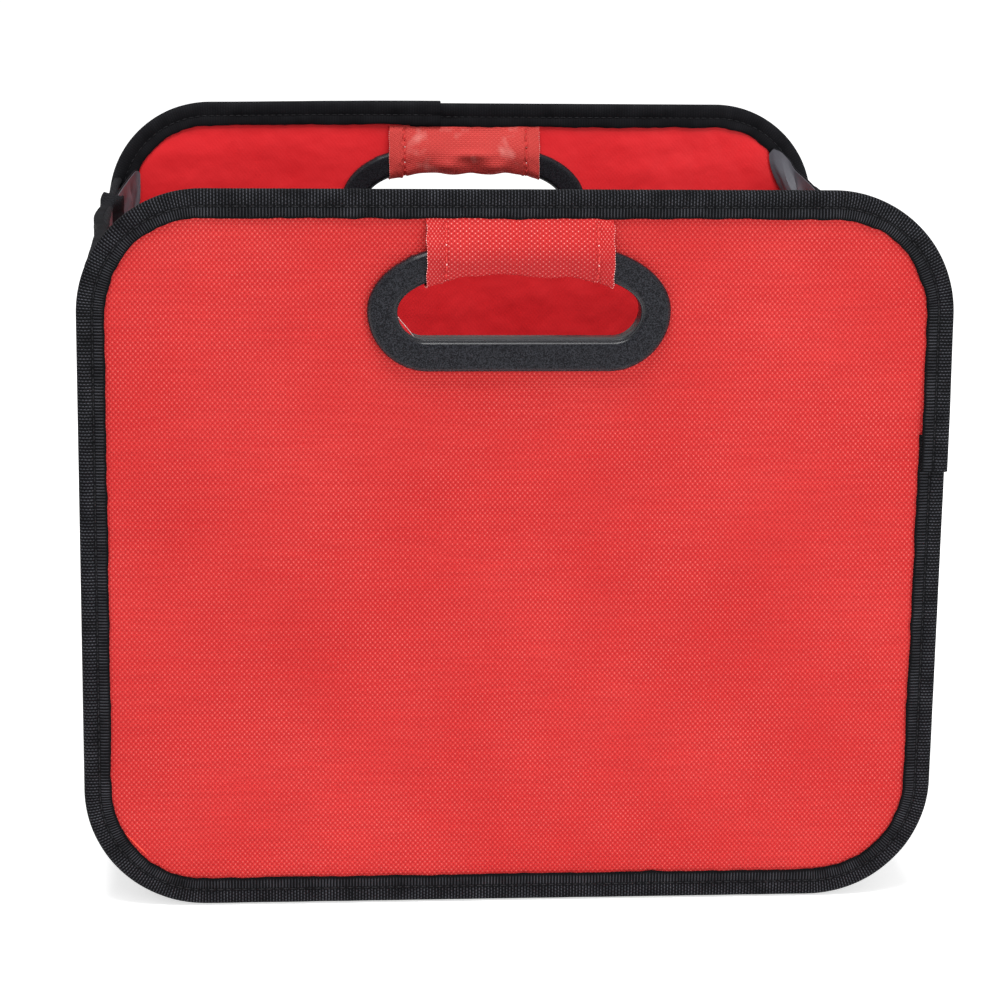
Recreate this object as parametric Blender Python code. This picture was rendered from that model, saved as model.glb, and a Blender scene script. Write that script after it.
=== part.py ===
"""Folding storage box: two stiff end panels joined by soft side walls and a base that break inward.

Units are metres. X is the width, Y the depth from front to rear and Z is up. The origin is at the
bottom centre. Run in Blender 4.5.
"""

import math

import bmesh
import bpy
from mathutils import Vector

# Overall sizes
PANEL_WIDTH = 0.325
PANEL_HEIGHT = 0.275
BOX_LENGTH = 0.300
CORNER_RADIUS = 0.046

# How far the side walls' top edges lie below the end panels' top
WALL_DROP = 0.035

# Gap between pieces that lie against each other
GAP = 0.0003

# End panel layers
COVER_THICKNESS = 0.0005
PANEL_BOARD_THICKNESS = 0.0024
LINER_THICKNESS = 0.0004

# Binding round each end panel
BINDING_CLOTH = 0.0010
BINDING_FACE = 0.0105
BINDING_ROUNDING = 0.0006

# Oval hand-hole ring: bare cloth between it and the binding, then the outer edge and the hole.
# Rise and drop are the heights above and below the widest place, and the reaches are how far
# the round ends run inward before the edge goes straight.
RING_BELOW_BINDING = 0.0095
RING_HALF_WIDTH = 0.0562
RING_RISE = 0.0245
RING_DROP = 0.0227
RING_TOP_REACH = 0.0380
RING_BOTTOM_REACH = 0.0230
HOLE_HALF_WIDTH = 0.0451
HOLE_RISE = 0.0145
HOLE_DROP = 0.0105
HOLE_TOP_REACH = 0.0330
HOLE_BOTTOM_REACH = 0.0100

# Section of each ring half
RING_HEIGHT = 0.0037
RING_DISH = 0.0005
RING_EDGE = 0.0007

# Places across the ring's band, as shares of its width from the hole outward
EDGE_SHARE = 0.05
BEAD_SHARE = 0.14
DISH_SHARE = 0.22
LIP_SHARE = 0.13
HOLE_CUT_SHARE = 0.165

# Cloth strip round the ring's top bar
WRAP_HALF_WIDTH = 0.0345
WRAP_CLOTH = 0.0008
WRAP_SLACK = 0.0005

# Side walls
WALL_BINDING_CLOTH = 0.0008
WALL_BINDING_FACE = 0.0090
WALL_CLOTH = 0.0004
WALL_BOARD_THICKNESS = 0.0012
WALL_LINING = 0.0004
WALL_HINGE_OFFSET = 0.0065
WALL_SIDE_INSET = 0.0010

# Base leaves
BASE_CLOTH = 0.0004
BASE_BOARD_THICKNESS = 0.0015
BASE_LINING = 0.0003
BASE_HINGE_SETBACK = 0.0030
BASE_SIDE_MARGIN = 0.0015

# Soft corners
GUSSET_CLOTH = 0.0009
GUSSET_RISE = 0.0150
GUSSET_TIP = 0.0020

# Margins at the fold lines
BOARD_MARGIN = 0.0015
HINGE_MARGIN = 0.0002
CREASE_MARGIN = 0.0008

# Facets
CORNER_STEPS = 8
OVAL_STEPS = 8
WRAP_STEPS = 6

# Places that follow from the sizes above
WALL_HEIGHT = PANEL_HEIGHT - WALL_DROP
RING_CENTRE_HEIGHT = PANEL_HEIGHT - BINDING_FACE - RING_BELOW_BINDING - RING_RISE
STACK_HALF = (COVER_THICKNESS + PANEL_BOARD_THICKNESS + LINER_THICKNESS + 2 * GAP) / 2
BINDING_HALF = STACK_HALF + GAP + BINDING_CLOTH
PANEL_MIDDLE = BOX_LENGTH / 2 - BINDING_HALF
LINER_FACE = PANEL_MIDDLE - STACK_HALF
WALL_HINGE = LINER_FACE - WALL_HINGE_OFFSET
BASE_HINGE = WALL_HINGE - BASE_HINGE_SETBACK
WALL_PLANE = PANEL_WIDTH / 2 - WALL_SIDE_INSET
WALL_CLOTH_DEPTH = WALL_BINDING_CLOTH + GAP
BODY_HALF_WIDTH = WALL_PLANE - WALL_CLOTH_DEPTH
BODY_RADIUS = CORNER_RADIUS - (PANEL_WIDTH / 2 - BODY_HALF_WIDTH)
BASE_HALF_WIDTH = BODY_HALF_WIDTH - BODY_RADIUS - BASE_SIDE_MARGIN
WALL_BOTTOM = BODY_RADIUS + 2 * GAP
WALL_LAYERS = WALL_CLOTH + WALL_BOARD_THICKNESS + WALL_LINING + 2 * GAP


def material(name, colour, roughness):
    """A Principled material with a linear base colour; nothing on the box is metal."""
    made = bpy.data.materials.new(name)
    made.use_nodes = True
    shader = made.node_tree.nodes["Principled BSDF"]
    shader.inputs["Base Color"].default_value = (*colour, 1.0)
    shader.inputs["Roughness"].default_value = roughness
    shader.inputs["Metallic"].default_value = 0.0
    made.diffuse_color = (*colour, 1.0)
    return made


def carrier(name, place, parent=None):
    """An empty on a joint's axis, which carries the pieces of one body."""
    empty = bpy.data.objects.new(name, None)
    bpy.context.scene.collection.objects.link(empty)
    empty.empty_display_size = 0.02
    empty["place"] = place
    empty.parent = parent
    start = Vector(parent["place"]) if parent else Vector((0, 0, 0))
    empty.location = Vector(place) - start
    return empty


def piece(name, bm, looks, body):
    """Turns a mesh built in world places into an object carried by a body."""
    bmesh.ops.recalc_face_normals(bm, faces=bm.faces)
    bmesh.ops.translate(bm, verts=bm.verts, vec=-Vector(body["place"]))
    mesh = bpy.data.meshes.new(name)
    bm.to_mesh(mesh)
    bm.free()
    mesh.materials.append(looks)
    mesh.shade_smooth()
    mesh.set_sharp_from_angle(angle=math.radians(35))
    obj = bpy.data.objects.new(name, mesh)
    bpy.context.scene.collection.objects.link(obj)
    obj.parent = body
    return obj


def loft(sections, closed=False):
    """Skins equal sections, given as lists of points, into one closed body."""
    bm = bmesh.new()
    rows = [[bm.verts.new(point) for point in section] for section in sections]
    count = len(rows[0])
    last = len(rows) if closed else len(rows) - 1
    for i in range(last):
        here, there = rows[i], rows[(i + 1) % len(rows)]
        for j in range(count):
            k = (j + 1) % count
            bm.faces.new((here[j], here[k], there[k], there[j]))
    if not closed:
        bm.faces.new(rows[0])
        bm.faces.new(rows[-1])
    return bm


def panel_outline(inset):
    """The end panel's rounded outline in X and Z, moved inward by the inset."""
    side = PANEL_WIDTH / 2 - CORNER_RADIUS
    upper = PANEL_HEIGHT - CORNER_RADIUS
    centres = ((side, upper), (-side, upper), (-side, CORNER_RADIUS), (side, CORNER_RADIUS))
    radius = CORNER_RADIUS - inset
    points = []
    for quarter, (x, z) in enumerate(centres):
        for step in range(CORNER_STEPS + 1):
            angle = math.pi / 2 * (quarter + step / CORNER_STEPS)
            points.append((x + radius * math.cos(angle), z + radius * math.sin(angle)))
    return points


def slab(outline, y_start, y_end):
    """A sheet parallel to the end panels, from an outline in X and Z."""
    return loft([[(x, y, z) for x, z in outline] for y in (y_start, y_end)])


def oval_points(half_width, rise, drop, top_reach, bottom_reach):
    """An oval of four quarter ellipses with straight runs between them above and below."""
    quarters = (
        (1, rise, top_reach, range(OVAL_STEPS + 1)),
        (-1, rise, top_reach, range(OVAL_STEPS, -1, -1)),
        (-1, -drop, bottom_reach, range(1, OVAL_STEPS + 1)),
        (1, -drop, bottom_reach, range(OVAL_STEPS, 0, -1)),
    )
    points = []
    for side, height, reach, steps in quarters:
        for step in steps:
            angle = math.pi / 2 * step / OVAL_STEPS
            x = side * (half_width - reach + reach * math.cos(angle))
            points.append((x, RING_CENTRE_HEIGHT + height * math.sin(angle)))
    return points


def oval(share):
    """An outline on the ring's band: share 0 is the edge of the hole and share 1 the outer edge."""
    hole = oval_points(HOLE_HALF_WIDTH, HOLE_RISE, HOLE_DROP, HOLE_TOP_REACH, HOLE_BOTTOM_REACH)
    rim = oval_points(RING_HALF_WIDTH, RING_RISE, RING_DROP, RING_TOP_REACH, RING_BOTTOM_REACH)
    return [
        (a + share * (c - a), b + share * (d - b)) for (a, b), (c, d) in zip(hole, rim)
    ]


def arch_height(x, half_width, rise, reach):
    """Height of an oval's upper edge at a distance from its middle."""
    past = max(0.0, abs(x) - (half_width - reach)) / reach
    return RING_CENTRE_HEIGHT + rise * math.sqrt(1 - past * past)


def offset_path(path, distance):
    """Moves an open path of flat points to its left by a distance, keeping its corners mitred."""
    spots = [Vector(point) for point in path]
    moved = []
    for i, spot in enumerate(spots):
        steps = []
        if i > 0:
            steps.append((spot - spots[i - 1]).normalized())
        if i < len(spots) - 1:
            steps.append((spots[i + 1] - spot).normalized())
        normals = [Vector((-step.y, step.x)) for step in steps]
        middle = sum(normals, Vector((0, 0))).normalized()
        moved.append(tuple(spot + middle * (distance / middle.dot(normals[0]))))
    return moved


def panel_layers(end, side, body, looks):
    """Liner, board and cover of one end panel; side is -1 for the front and 1 for the rear."""
    reach = 4 * STACK_HALF
    cutter_shape = slab(
        oval(HOLE_CUT_SHARE), side * (PANEL_MIDDLE - reach), side * (PANEL_MIDDLE + reach)
    )
    cutter = piece(f"{end}_hole_cutter", cutter_shape, looks["board"], body)
    cutter.hide_render = True
    cutter.display_type = "WIRE"
    outline = panel_outline(BINDING_CLOTH + GAP)
    layers = (
        ("liner", LINER_THICKNESS),
        ("board", PANEL_BOARD_THICKNESS),
        ("cover", COVER_THICKNESS),
    )
    face = LINER_FACE
    for layer, thickness in layers:
        shape = slab(outline, side * face, side * (face + thickness))
        sheet = piece(f"{end}_{layer}", shape, looks[layer], body)
        cut = sheet.modifiers.new("hand hole", "BOOLEAN")
        cut.operation = "DIFFERENCE"
        cut.solver = "EXACT"
        cut.object = cutter
        face += thickness + GAP


def panel_binding(end, side, body, looks):
    """Webbing folded over the panel's whole edge: a channel section carried round the outline."""
    inner = STACK_HALF + GAP
    section = [
        (BINDING_ROUNDING, -BINDING_HALF),
        (0.0, -BINDING_HALF + BINDING_ROUNDING),
        (0.0, BINDING_HALF - BINDING_ROUNDING),
        (BINDING_ROUNDING, BINDING_HALF),
        (BINDING_FACE, BINDING_HALF),
        (BINDING_FACE, inner),
        (BINDING_CLOTH, inner),
        (BINDING_CLOTH, -inner),
        (BINDING_FACE, -inner),
        (BINDING_FACE, -BINDING_HALF),
    ]
    rings = [
        [(x, side * (PANEL_MIDDLE + depth), z) for x, z in panel_outline(inset)]
        for inset, depth in section
    ]
    piece(f"{end}_binding", loft(rings, closed=True), looks["webbing"], body)


def handle_half(name, side, outward, body, looks):
    """One half of the ring: a dished band on the panel's face with a lip into the hole."""
    low = -STACK_HALF + GAP / 2
    section = [
        (0.0, low),
        (0.0, RING_HEIGHT - RING_EDGE),
        (EDGE_SHARE, RING_HEIGHT),
        (BEAD_SHARE, RING_HEIGHT),
        (DISH_SHARE, RING_HEIGHT - RING_DISH),
        (1.0 - DISH_SHARE, RING_HEIGHT - RING_DISH),
        (1.0 - BEAD_SHARE, RING_HEIGHT),
        (1.0 - EDGE_SHARE, RING_HEIGHT),
        (1.0, RING_HEIGHT - RING_EDGE),
        (1.0, GAP),
        (LIP_SHARE, GAP),
        (LIP_SHARE, low),
    ]
    rings = [
        [(x, side * (PANEL_MIDDLE + outward * (STACK_HALF + height)), z) for x, z in oval(share)]
        for share, height in section
    ]
    piece(name, loft(rings, closed=True), looks["plastic"], body)


def grip_wrap(end, side, body, looks):
    """Cloth strip from under the binding, over the ring's top bar, through the hole and back up."""
    top = PANEL_HEIGHT - BINDING_FACE - GAP
    at_panel = STACK_HALF + GAP
    at_ring = STACK_HALF + RING_HEIGHT + GAP
    sections = []
    for step in range(WRAP_STEPS + 1):
        x = WRAP_HALF_WIDTH * (2 * step / WRAP_STEPS - 1)
        rim = arch_height(x, RING_HALF_WIDTH, RING_RISE, RING_TOP_REACH) + WRAP_SLACK
        hole = arch_height(x, HOLE_HALF_WIDTH, HOLE_RISE, HOLE_TOP_REACH)
        outer_half = [
            (at_panel, top),
            (at_ring, rim),
            (at_ring, hole + GAP),
            (at_ring - RING_EDGE, hole - WRAP_SLACK),
        ]
        inside = outer_half + [(-depth, z) for depth, z in reversed(outer_half)]
        outside = offset_path(inside, WRAP_CLOTH)
        # The strip's ends are cut level, so both faces end at the same height.
        outside[0] = (outside[0][0], top)
        outside[-1] = (outside[-1][0], top)
        profile = inside + outside[::-1]
        sections.append([(x, side * (PANEL_MIDDLE + depth), z) for depth, z in profile])
    piece(f"{end}_grip_wrap", loft(sections), looks["cover"], body)


def end_panel(end, side, body, looks):
    panel_layers(end, side, body, looks)
    panel_binding(end, side, body, looks)
    handle_half(f"{end}_handle_outer", side, 1, body, looks)
    handle_half(f"{end}_handle_inner", side, -1, body, looks)
    grip_wrap(end, side, body, looks)


def base_leaf(end, side, body, looks):
    """One half of the base: cloth below, board, and lining on top."""
    level = 0.0
    layers = (
        ("cloth", BASE_CLOTH, HINGE_MARGIN, CREASE_MARGIN),
        ("board", BASE_BOARD_THICKNESS, BOARD_MARGIN, BOARD_MARGIN),
        ("lining", BASE_LINING, HINGE_MARGIN, CREASE_MARGIN),
    )
    for layer, thickness, hinge_margin, crease_margin in layers:
        half = BASE_HALF_WIDTH - (BOARD_MARGIN if layer == "board" else 0.0)
        near, far = side * (BASE_HINGE - hinge_margin), side * crease_margin
        corners = ((-half, near), (half, near), (half, far), (-half, far))
        levels = (level, level + thickness)
        shape = loft([[(x, y, z) for x, y in corners] for z in levels])
        piece(f"base_{end}_{layer}", shape, looks[layer], body)
        level += thickness + GAP


def wall_outline(hinge_margin, crease_margin):
    """One wall half as seen from the side: distance from its hinge and height."""
    near = hinge_margin
    far = WALL_HINGE - crease_margin
    bottom = WALL_BOTTOM + GAP
    top = WALL_HEIGHT - WALL_BINDING_CLOTH - GAP
    turn = bottom - GUSSET_RISE
    return [(near, bottom), (turn, bottom), (far, far + GUSSET_RISE), (far, top), (near, top)]


def wall_half(name, flank, side, body, looks):
    """Half of a side wall: cloth, board and lining under a folded webbing on the top edge."""
    depth = WALL_CLOTH_DEPTH
    layers = (
        ("cloth", WALL_CLOTH, HINGE_MARGIN, CREASE_MARGIN),
        ("board", WALL_BOARD_THICKNESS, BOARD_MARGIN, BOARD_MARGIN),
        ("lining", WALL_LINING, HINGE_MARGIN, CREASE_MARGIN),
    )
    for layer, thickness, hinge_margin, crease_margin in layers:
        outline = wall_outline(hinge_margin, crease_margin)
        faces = [
            [(flank * (WALL_PLANE - d), side * (WALL_HINGE - s), z) for s, z in outline]
            for d in (depth, depth + thickness)
        ]
        piece(f"{name}_{layer}", loft(faces), looks[layer], body)
        depth += thickness + GAP
    cloth, low, top = WALL_BINDING_CLOTH, WALL_HEIGHT - WALL_BINDING_FACE, WALL_HEIGHT
    across = WALL_LAYERS + 2 * WALL_CLOTH_DEPTH
    section = [
        (0.0, low),
        (0.0, top),
        (across, top),
        (across, low),
        (across - cloth, low),
        (across - cloth, top - cloth),
        (cloth, top - cloth),
        (cloth, low),
    ]
    ends = [
        [(flank * (WALL_PLANE - d), side * (WALL_HINGE - s), z) for d, z in section]
        for s in (HINGE_MARGIN, WALL_HINGE - CREASE_MARGIN)
    ]
    piece(f"{name}_top_binding", loft(ends), looks["webbing"], body)


def gusset_stations():
    """Stations round the lower corner: outer point, inward direction and four distances in depth."""
    start = LINER_FACE - BINDING_CLOTH - 2 * GAP
    at_base = BASE_HINGE + HINGE_MARGIN
    at_wall = WALL_HINGE + HINGE_MARGIN
    across = BODY_HALF_WIDTH - BODY_RADIUS
    clear = 1.5 * GAP

    def diagonal(height):
        return WALL_HINGE - (height - GUSSET_RISE + clear)

    turn = diagonal(WALL_BOTTOM)
    tip_height = WALL_HINGE - GAP - GUSSET_TIP + GUSSET_RISE - clear
    front_strip = (start, at_base, at_base, at_base)
    full = (start, at_wall, turn, GAP)
    stations = [
        ((GAP / 2, GAP), (0, 1), front_strip),
        ((BASE_HALF_WIDTH + GAP, GAP), (0, 1), front_strip),
        ((BASE_HALF_WIDTH + 2 * GAP, GAP), (0, 1), full),
    ]
    for step in range(CORNER_STEPS + 1):
        angle = math.pi / 2 * step / CORNER_STEPS
        inward = (-math.sin(angle), math.cos(angle))
        spot = (across - BODY_RADIUS * inward[0], GAP + BODY_RADIUS * (1 - inward[1]))
        stations.append((spot, inward, full))
    upright = (-1, 0)
    tip = (start, at_wall, GAP + GUSSET_TIP, GAP)
    stations.append(((BODY_HALF_WIDTH, WALL_BOTTOM), upright, full))
    stations.append(((BODY_HALF_WIDTH, tip_height), upright, tip))
    stations.append(((BODY_HALF_WIDTH, WALL_HEIGHT), upright, tip))
    return stations


def gusset(name, flank, side, body, looks):
    """Soft cloth of one quarter: strip along the panel, rounded lower corner and side triangle."""
    stations = gusset_stations()
    last = len(stations) - 1
    cells = {(i, 0) for i in range(last)}
    cells |= {(i, j) for i in range(2, last - 1) for j in (1, 2)}
    cells -= {(last - 2, 1)}
    bm = bmesh.new()
    made = {}

    def vert(i, j, layer):
        if (i, j, layer) not in made:
            (x, z), (inward_x, inward_z), depths = stations[i]
            x += layer * GUSSET_CLOTH * inward_x
            z += layer * GUSSET_CLOTH * inward_z
            made[i, j, layer] = bm.verts.new((flank * x, side * depths[j], z))
        return made[i, j, layer]

    for i, j in cells:
        ring = ((i, j), (i + 1, j), (i + 1, j + 1), (i, j + 1))
        for layer in (0, 1):
            bm.faces.new([vert(*corner, layer) for corner in ring])
        neighbours = ((i, j - 1), (i + 1, j), (i, j + 1), (i - 1, j))
        for k, neighbour in enumerate(neighbours):
            if neighbour not in cells:
                a, b = ring[k], ring[(k + 1) % 4]
                bm.faces.new((vert(*a, 0), vert(*b, 0), vert(*b, 1), vert(*a, 1)))
    piece(name, bm, looks["cloth"], body)


def main():
    for obj in list(bpy.data.objects):
        bpy.data.objects.remove(obj)

    looks = {
        "cover": material("red_weave", (0.80, 0.055, 0.05), 0.75),
        "liner": material("red_coating", (0.62, 0.025, 0.03), 0.45),
        "board": material("grey_board", (0.25, 0.23, 0.20), 0.90),
        "webbing": material("black_webbing", (0.018, 0.018, 0.020), 0.80),
        "plastic": material("black_plastic", (0.022, 0.023, 0.026), 0.45),
        "cloth": material("black_cloth", (0.020, 0.020, 0.022), 0.85),
        "lining": material("grey_coating", (0.11, 0.11, 0.12), 0.55),
    }

    front = carrier("front_panel", (0, -PANEL_MIDDLE, 0))
    base_front = carrier("base_front", (0, -BASE_HINGE, 0), front)
    base_rear = carrier("base_rear", (0, 0, 0), base_front)
    rear = carrier("rear_panel", (0, BASE_HINGE, 0), base_rear)

    for end, side, panel, leaf in (("front", -1, front, base_front), ("rear", 1, rear, base_rear)):
        end_panel(end, side, panel, looks)
        base_leaf(end, side, leaf, looks)
        for hand, flank in (("left", -1), ("right", 1)):
            name = f"{hand}_{end}_wall"
            wall = carrier(name, (flank * WALL_PLANE, side * WALL_HINGE, 0), panel)
            wall_half(name, flank, side, wall, looks)
            gusset(f"{hand}_{end}_gusset", flank, side, panel, looks)


main()
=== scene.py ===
# %% [markdown]
# # A folding storage box, dressed for its picture
#
# The box has two stiff end panels in red cloth, each with a black webbing round its edge and a plastic
# ring in its hand hole. Black cloth with a grey coating joins them along the sides and the base.
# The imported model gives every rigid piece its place. This lesson adds the cloth, the webbing, the
# stitches and the finishes. All lengths are in metres, X runs along the panels and Z is up.

# %% Load the frame
import math

import bmesh
import bpy
import numpy as np
from mathutils import Matrix, Vector


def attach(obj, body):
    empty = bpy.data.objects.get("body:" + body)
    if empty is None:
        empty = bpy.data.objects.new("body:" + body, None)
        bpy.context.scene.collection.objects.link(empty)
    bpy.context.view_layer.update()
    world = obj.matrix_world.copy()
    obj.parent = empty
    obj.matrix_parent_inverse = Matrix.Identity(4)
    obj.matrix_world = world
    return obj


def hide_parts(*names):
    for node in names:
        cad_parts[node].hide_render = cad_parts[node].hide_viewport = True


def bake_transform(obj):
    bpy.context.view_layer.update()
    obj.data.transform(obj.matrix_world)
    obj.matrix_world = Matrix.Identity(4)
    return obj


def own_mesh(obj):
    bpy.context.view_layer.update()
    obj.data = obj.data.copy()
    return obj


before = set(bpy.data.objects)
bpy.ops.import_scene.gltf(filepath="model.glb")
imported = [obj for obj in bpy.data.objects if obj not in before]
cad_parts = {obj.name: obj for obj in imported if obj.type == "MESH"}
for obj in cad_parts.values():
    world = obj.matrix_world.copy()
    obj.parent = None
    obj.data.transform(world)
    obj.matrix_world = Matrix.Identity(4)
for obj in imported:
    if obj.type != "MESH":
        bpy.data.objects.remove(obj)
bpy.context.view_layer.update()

# %% [markdown]
# ## The camera
#
# The picture was taken with a long lens from a little above, and slightly left of the middle. Its place,
# its aim and its lens were found from the outlines of both end panels, whose true sizes are known.
# Yaw turns it right, pitch turns it down, and a small roll levels the picture as it was.

# %% Make the camera
CAMERA_PLACE = Vector((-0.101, -1.258, 0.425))
YAW, PITCH, ROLL = (math.radians(angle) for angle in (4.89, 13.46, 0.84))
FOCAL_LENGTH = 110.1


def aim(yaw, pitch, roll):
    """The camera's turn as a matrix whose columns are its right, its up and its back."""
    forward = Vector((math.sin(yaw) * math.cos(pitch), math.cos(yaw) * math.cos(pitch), -math.sin(pitch)))
    level = Vector((math.cos(yaw), -math.sin(yaw), 0))
    upright = level.cross(forward)
    right = level * math.cos(roll) + upright * math.sin(roll)
    up = upright * math.cos(roll) - level * math.sin(roll)
    return Matrix((right, up, -forward)).transposed().to_4x4()


lens = bpy.data.cameras.new("picture_camera")
lens.lens = FOCAL_LENGTH
lens.clip_start = 0.01
camera = bpy.data.objects.new("picture_camera", lens)
camera.matrix_world = Matrix.Translation(CAMERA_PLACE) @ aim(YAW, PITCH, ROLL)
bpy.context.scene.collection.objects.link(camera)
bpy.context.scene.camera = camera
print("camera at", tuple(CAMERA_PLACE))

# %% [markdown]
# ## Light and floor
#
# The box stands in a white studio with soft light from everywhere and a little more from above and
# in front. A white world gives the even part, and two large area lights give the cloth its modelling.

# %% Light the studio
FLOOR_SIZE = 14.0
WORLD_BRIGHTNESS = 0.52
SOFTBOX_SIZE = 0.8

world = bpy.data.worlds.new("white studio")
world.use_nodes = True
world.node_tree.nodes["Background"].inputs["Color"].default_value = (1.0, 1.0, 1.0, 1.0)
world.node_tree.nodes["Background"].inputs["Strength"].default_value = WORLD_BRIGHTNESS
bpy.context.scene.world = world
bpy.context.scene.view_settings.view_transform = "Standard"


def softbox(name, place, target, power):
    """A square area light that looks at a target."""
    light = bpy.data.lights.new(name, "AREA")
    light.size = SOFTBOX_SIZE
    light.energy = power
    lamp = bpy.data.objects.new(name, light)
    lamp.location = place
    lamp.rotation_euler = (Vector(target) - Vector(place)).to_track_quat("-Z", "Y").to_euler()
    bpy.context.scene.collection.objects.link(lamp)


softbox("overhead_softbox", (-0.1, -0.55, 1.75), (0, 0, 0.12), power=27)
softbox("front_softbox", (0.9, -1.5, 0.45), (0, 0, 0.10), power=8)
print("area lights:", len(bpy.data.lights))

# %% [markdown]
# ## Writing finishes as sums
#
# A finish is a node tree, and long trees are hard to read. The class `Wire` wraps one socket, so that
# `1 - mask` or `height * 0.5` adds its Math node by itself. The class `Finish` holds one material, and
# its `node` method makes any other node from a type, its settings and its inputs.

# %% Define the wire
class Wire:
    """A socket that takes part in sums. Numbers on either side work too."""

    def __init__(self, finish, socket):
        self.finish, self.socket = finish, socket

    def _maths(self, operation, *terms, clamp=False):
        settings = {"operation": operation, "use_clamp": clamp}
        return self.finish.node("ShaderNodeMath", settings, dict(enumerate(terms)))

    def __add__(self, other):
        return self._maths("ADD", self, other)

    def __radd__(self, other):
        return self._maths("ADD", other, self)

    def __sub__(self, other):
        return self._maths("SUBTRACT", self, other)

    def __rsub__(self, other):
        return self._maths("SUBTRACT", other, self)

    def __mul__(self, other):
        return self._maths("MULTIPLY", self, other)

    def __rmul__(self, other):
        return self._maths("MULTIPLY", other, self)

    def __truediv__(self, other):
        return self._maths("DIVIDE", self, other)

    def __rtruediv__(self, other):
        return self._maths("DIVIDE", other, self)

    def sine(self):
        return self._maths("SINE", self)

    def size(self):
        return self._maths("ABSOLUTE", self)

    def held(self):
        """The value kept between 0 and 1."""
        return self._maths("ADD", self, 0.0, clamp=True)

    def above(self, low, high):
        """A mask that rises from 0 at low to 1 at high."""
        return ((self - low) / (high - low)).held()


print("sums of sockets ready")

# %% [markdown]
# Every finish starts from one Principled shader. `noise`, `mix` and `bump` are the three things that
# nearly all of them need, so each has a method that sets its node up and hands back a wire.

# %% Define the finish
class Finish:
    """One material: a Principled shader, and helpers that build what feeds it."""

    def __init__(self, name, colour, roughness, **extras):
        self.material = bpy.data.materials.new(name)
        self.material.use_nodes = True
        self.nodes = self.material.node_tree.nodes
        self.shader = self.nodes["Principled BSDF"]
        self.set("Base Color", (*colour, 1.0))
        self.set("Roughness", roughness)
        for socket, value in extras.items():
            self.set(socket.replace("_", " "), value)

    def set(self, socket, value):
        self.shader.inputs[socket].default_value = value

    def feed(self, socket, wire):
        self.material.node_tree.links.new(wire.socket, self.shader.inputs[socket])

    def node(self, kind, settings=None, inputs=None, output=0):
        """Any node: settings first, then a value or a wire for each named or numbered input."""
        made = self.nodes.new(kind)
        for key, value in (settings or {}).items():
            setattr(made, key, value)
        for key, value in (inputs or {}).items():
            if isinstance(value, Wire):
                self.material.node_tree.links.new(value.socket, made.inputs[key])
            else:
                made.inputs[key].default_value = value
        return Wire(self, made.outputs[output])

    def axes(self, vector):
        made = self.nodes.new("ShaderNodeSeparateXYZ")
        self.material.node_tree.links.new(vector.socket, made.inputs[0])
        return [Wire(self, made.outputs[k]) for k in range(3)]

    def cloth_place(self):
        """Where a point lies on the flat cloth, in metres, from the piece's own UV map."""
        return self.node("ShaderNodeUVMap", {"uv_map": "cloth"})

    def object_place(self):
        return self.node("ShaderNodeTexCoord", output="Object")

    def noise(self, place, scale, detail=2.0, stretch=(1, 1, 1)):
        """Cloudy values round 0.5; scale counts the clouds in a metre."""
        spread = self.node("ShaderNodeMapping", inputs={"Vector": place, "Scale": stretch})
        return self.node("ShaderNodeTexNoise", inputs={"Vector": spread, "Scale": scale, "Detail": detail})

    def mix(self, amount, first, second):
        """A colour between two, from 0 for the first to 1 for the second."""
        colours = {}
        for key, value in (("A", first), ("B", second)):
            colours[key] = value if isinstance(value, Wire) else (*value, 1.0)
        made = self.nodes.new("ShaderNodeMix")
        made.data_type = "RGBA"
        wanted = {"Factor": amount, **colours}
        for socket in made.inputs:
            if socket.enabled and socket.name in wanted:
                value = wanted[socket.name]
                if isinstance(value, Wire):
                    self.material.node_tree.links.new(value.socket, socket)
                else:
                    socket.default_value = value
        return Wire(self, [s for s in made.outputs if s.enabled][0])

    def bump(self, height, distance):
        inputs = {"Height": height, "Distance": distance, "Strength": 1.0}
        self.feed("Normal", self.node("ShaderNodeBump", inputs=inputs))


print("shader helpers ready")

# %% [markdown]
# ## The red woven cloth
#
# The outer cloth is a plain weave of flat synthetic yarns. Where a yarn passes over, a pale dot shows,
# partly its own tone and partly painted highlight, and where it dives under, a dark one of painted shade.
# The product of two sines has just these staggered hills and hollows. The grip strip is the same cloth
# turned by a quarter, so its pitches change places.

# %% Make the red cloth finishes
YARN_PAIR_ACROSS = 0.00186
YARN_PAIR_UP = 0.00217
YARN_UNEVENNESS = 0.10
# Where the painted shade on the grip strip's turn under the bar starts and ends along its run, in metres.
SHADE_FROM, SHADE_TO = (0.009, 0.017), (0.026, 0.034)
TURN = 2 * math.pi


def woven(finish, across, up):
    """Place on the cloth, and the weave's height from -1 to 1 with slightly uneven yarns."""
    place = finish.cloth_place()
    u, v, _ = finish.axes(place)
    sway = finish.noise(place, 260, 1.0) - 0.5
    lean = finish.noise(place, 190, 1.0, stretch=(1, 1.3, 1)) - 0.5
    warp = ((u / across + sway * YARN_UNEVENNESS) * TURN).sine()
    weft = ((v / up + lean * YARN_UNEVENNESS) * TURN).sine()
    return place, warp * weft


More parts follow.
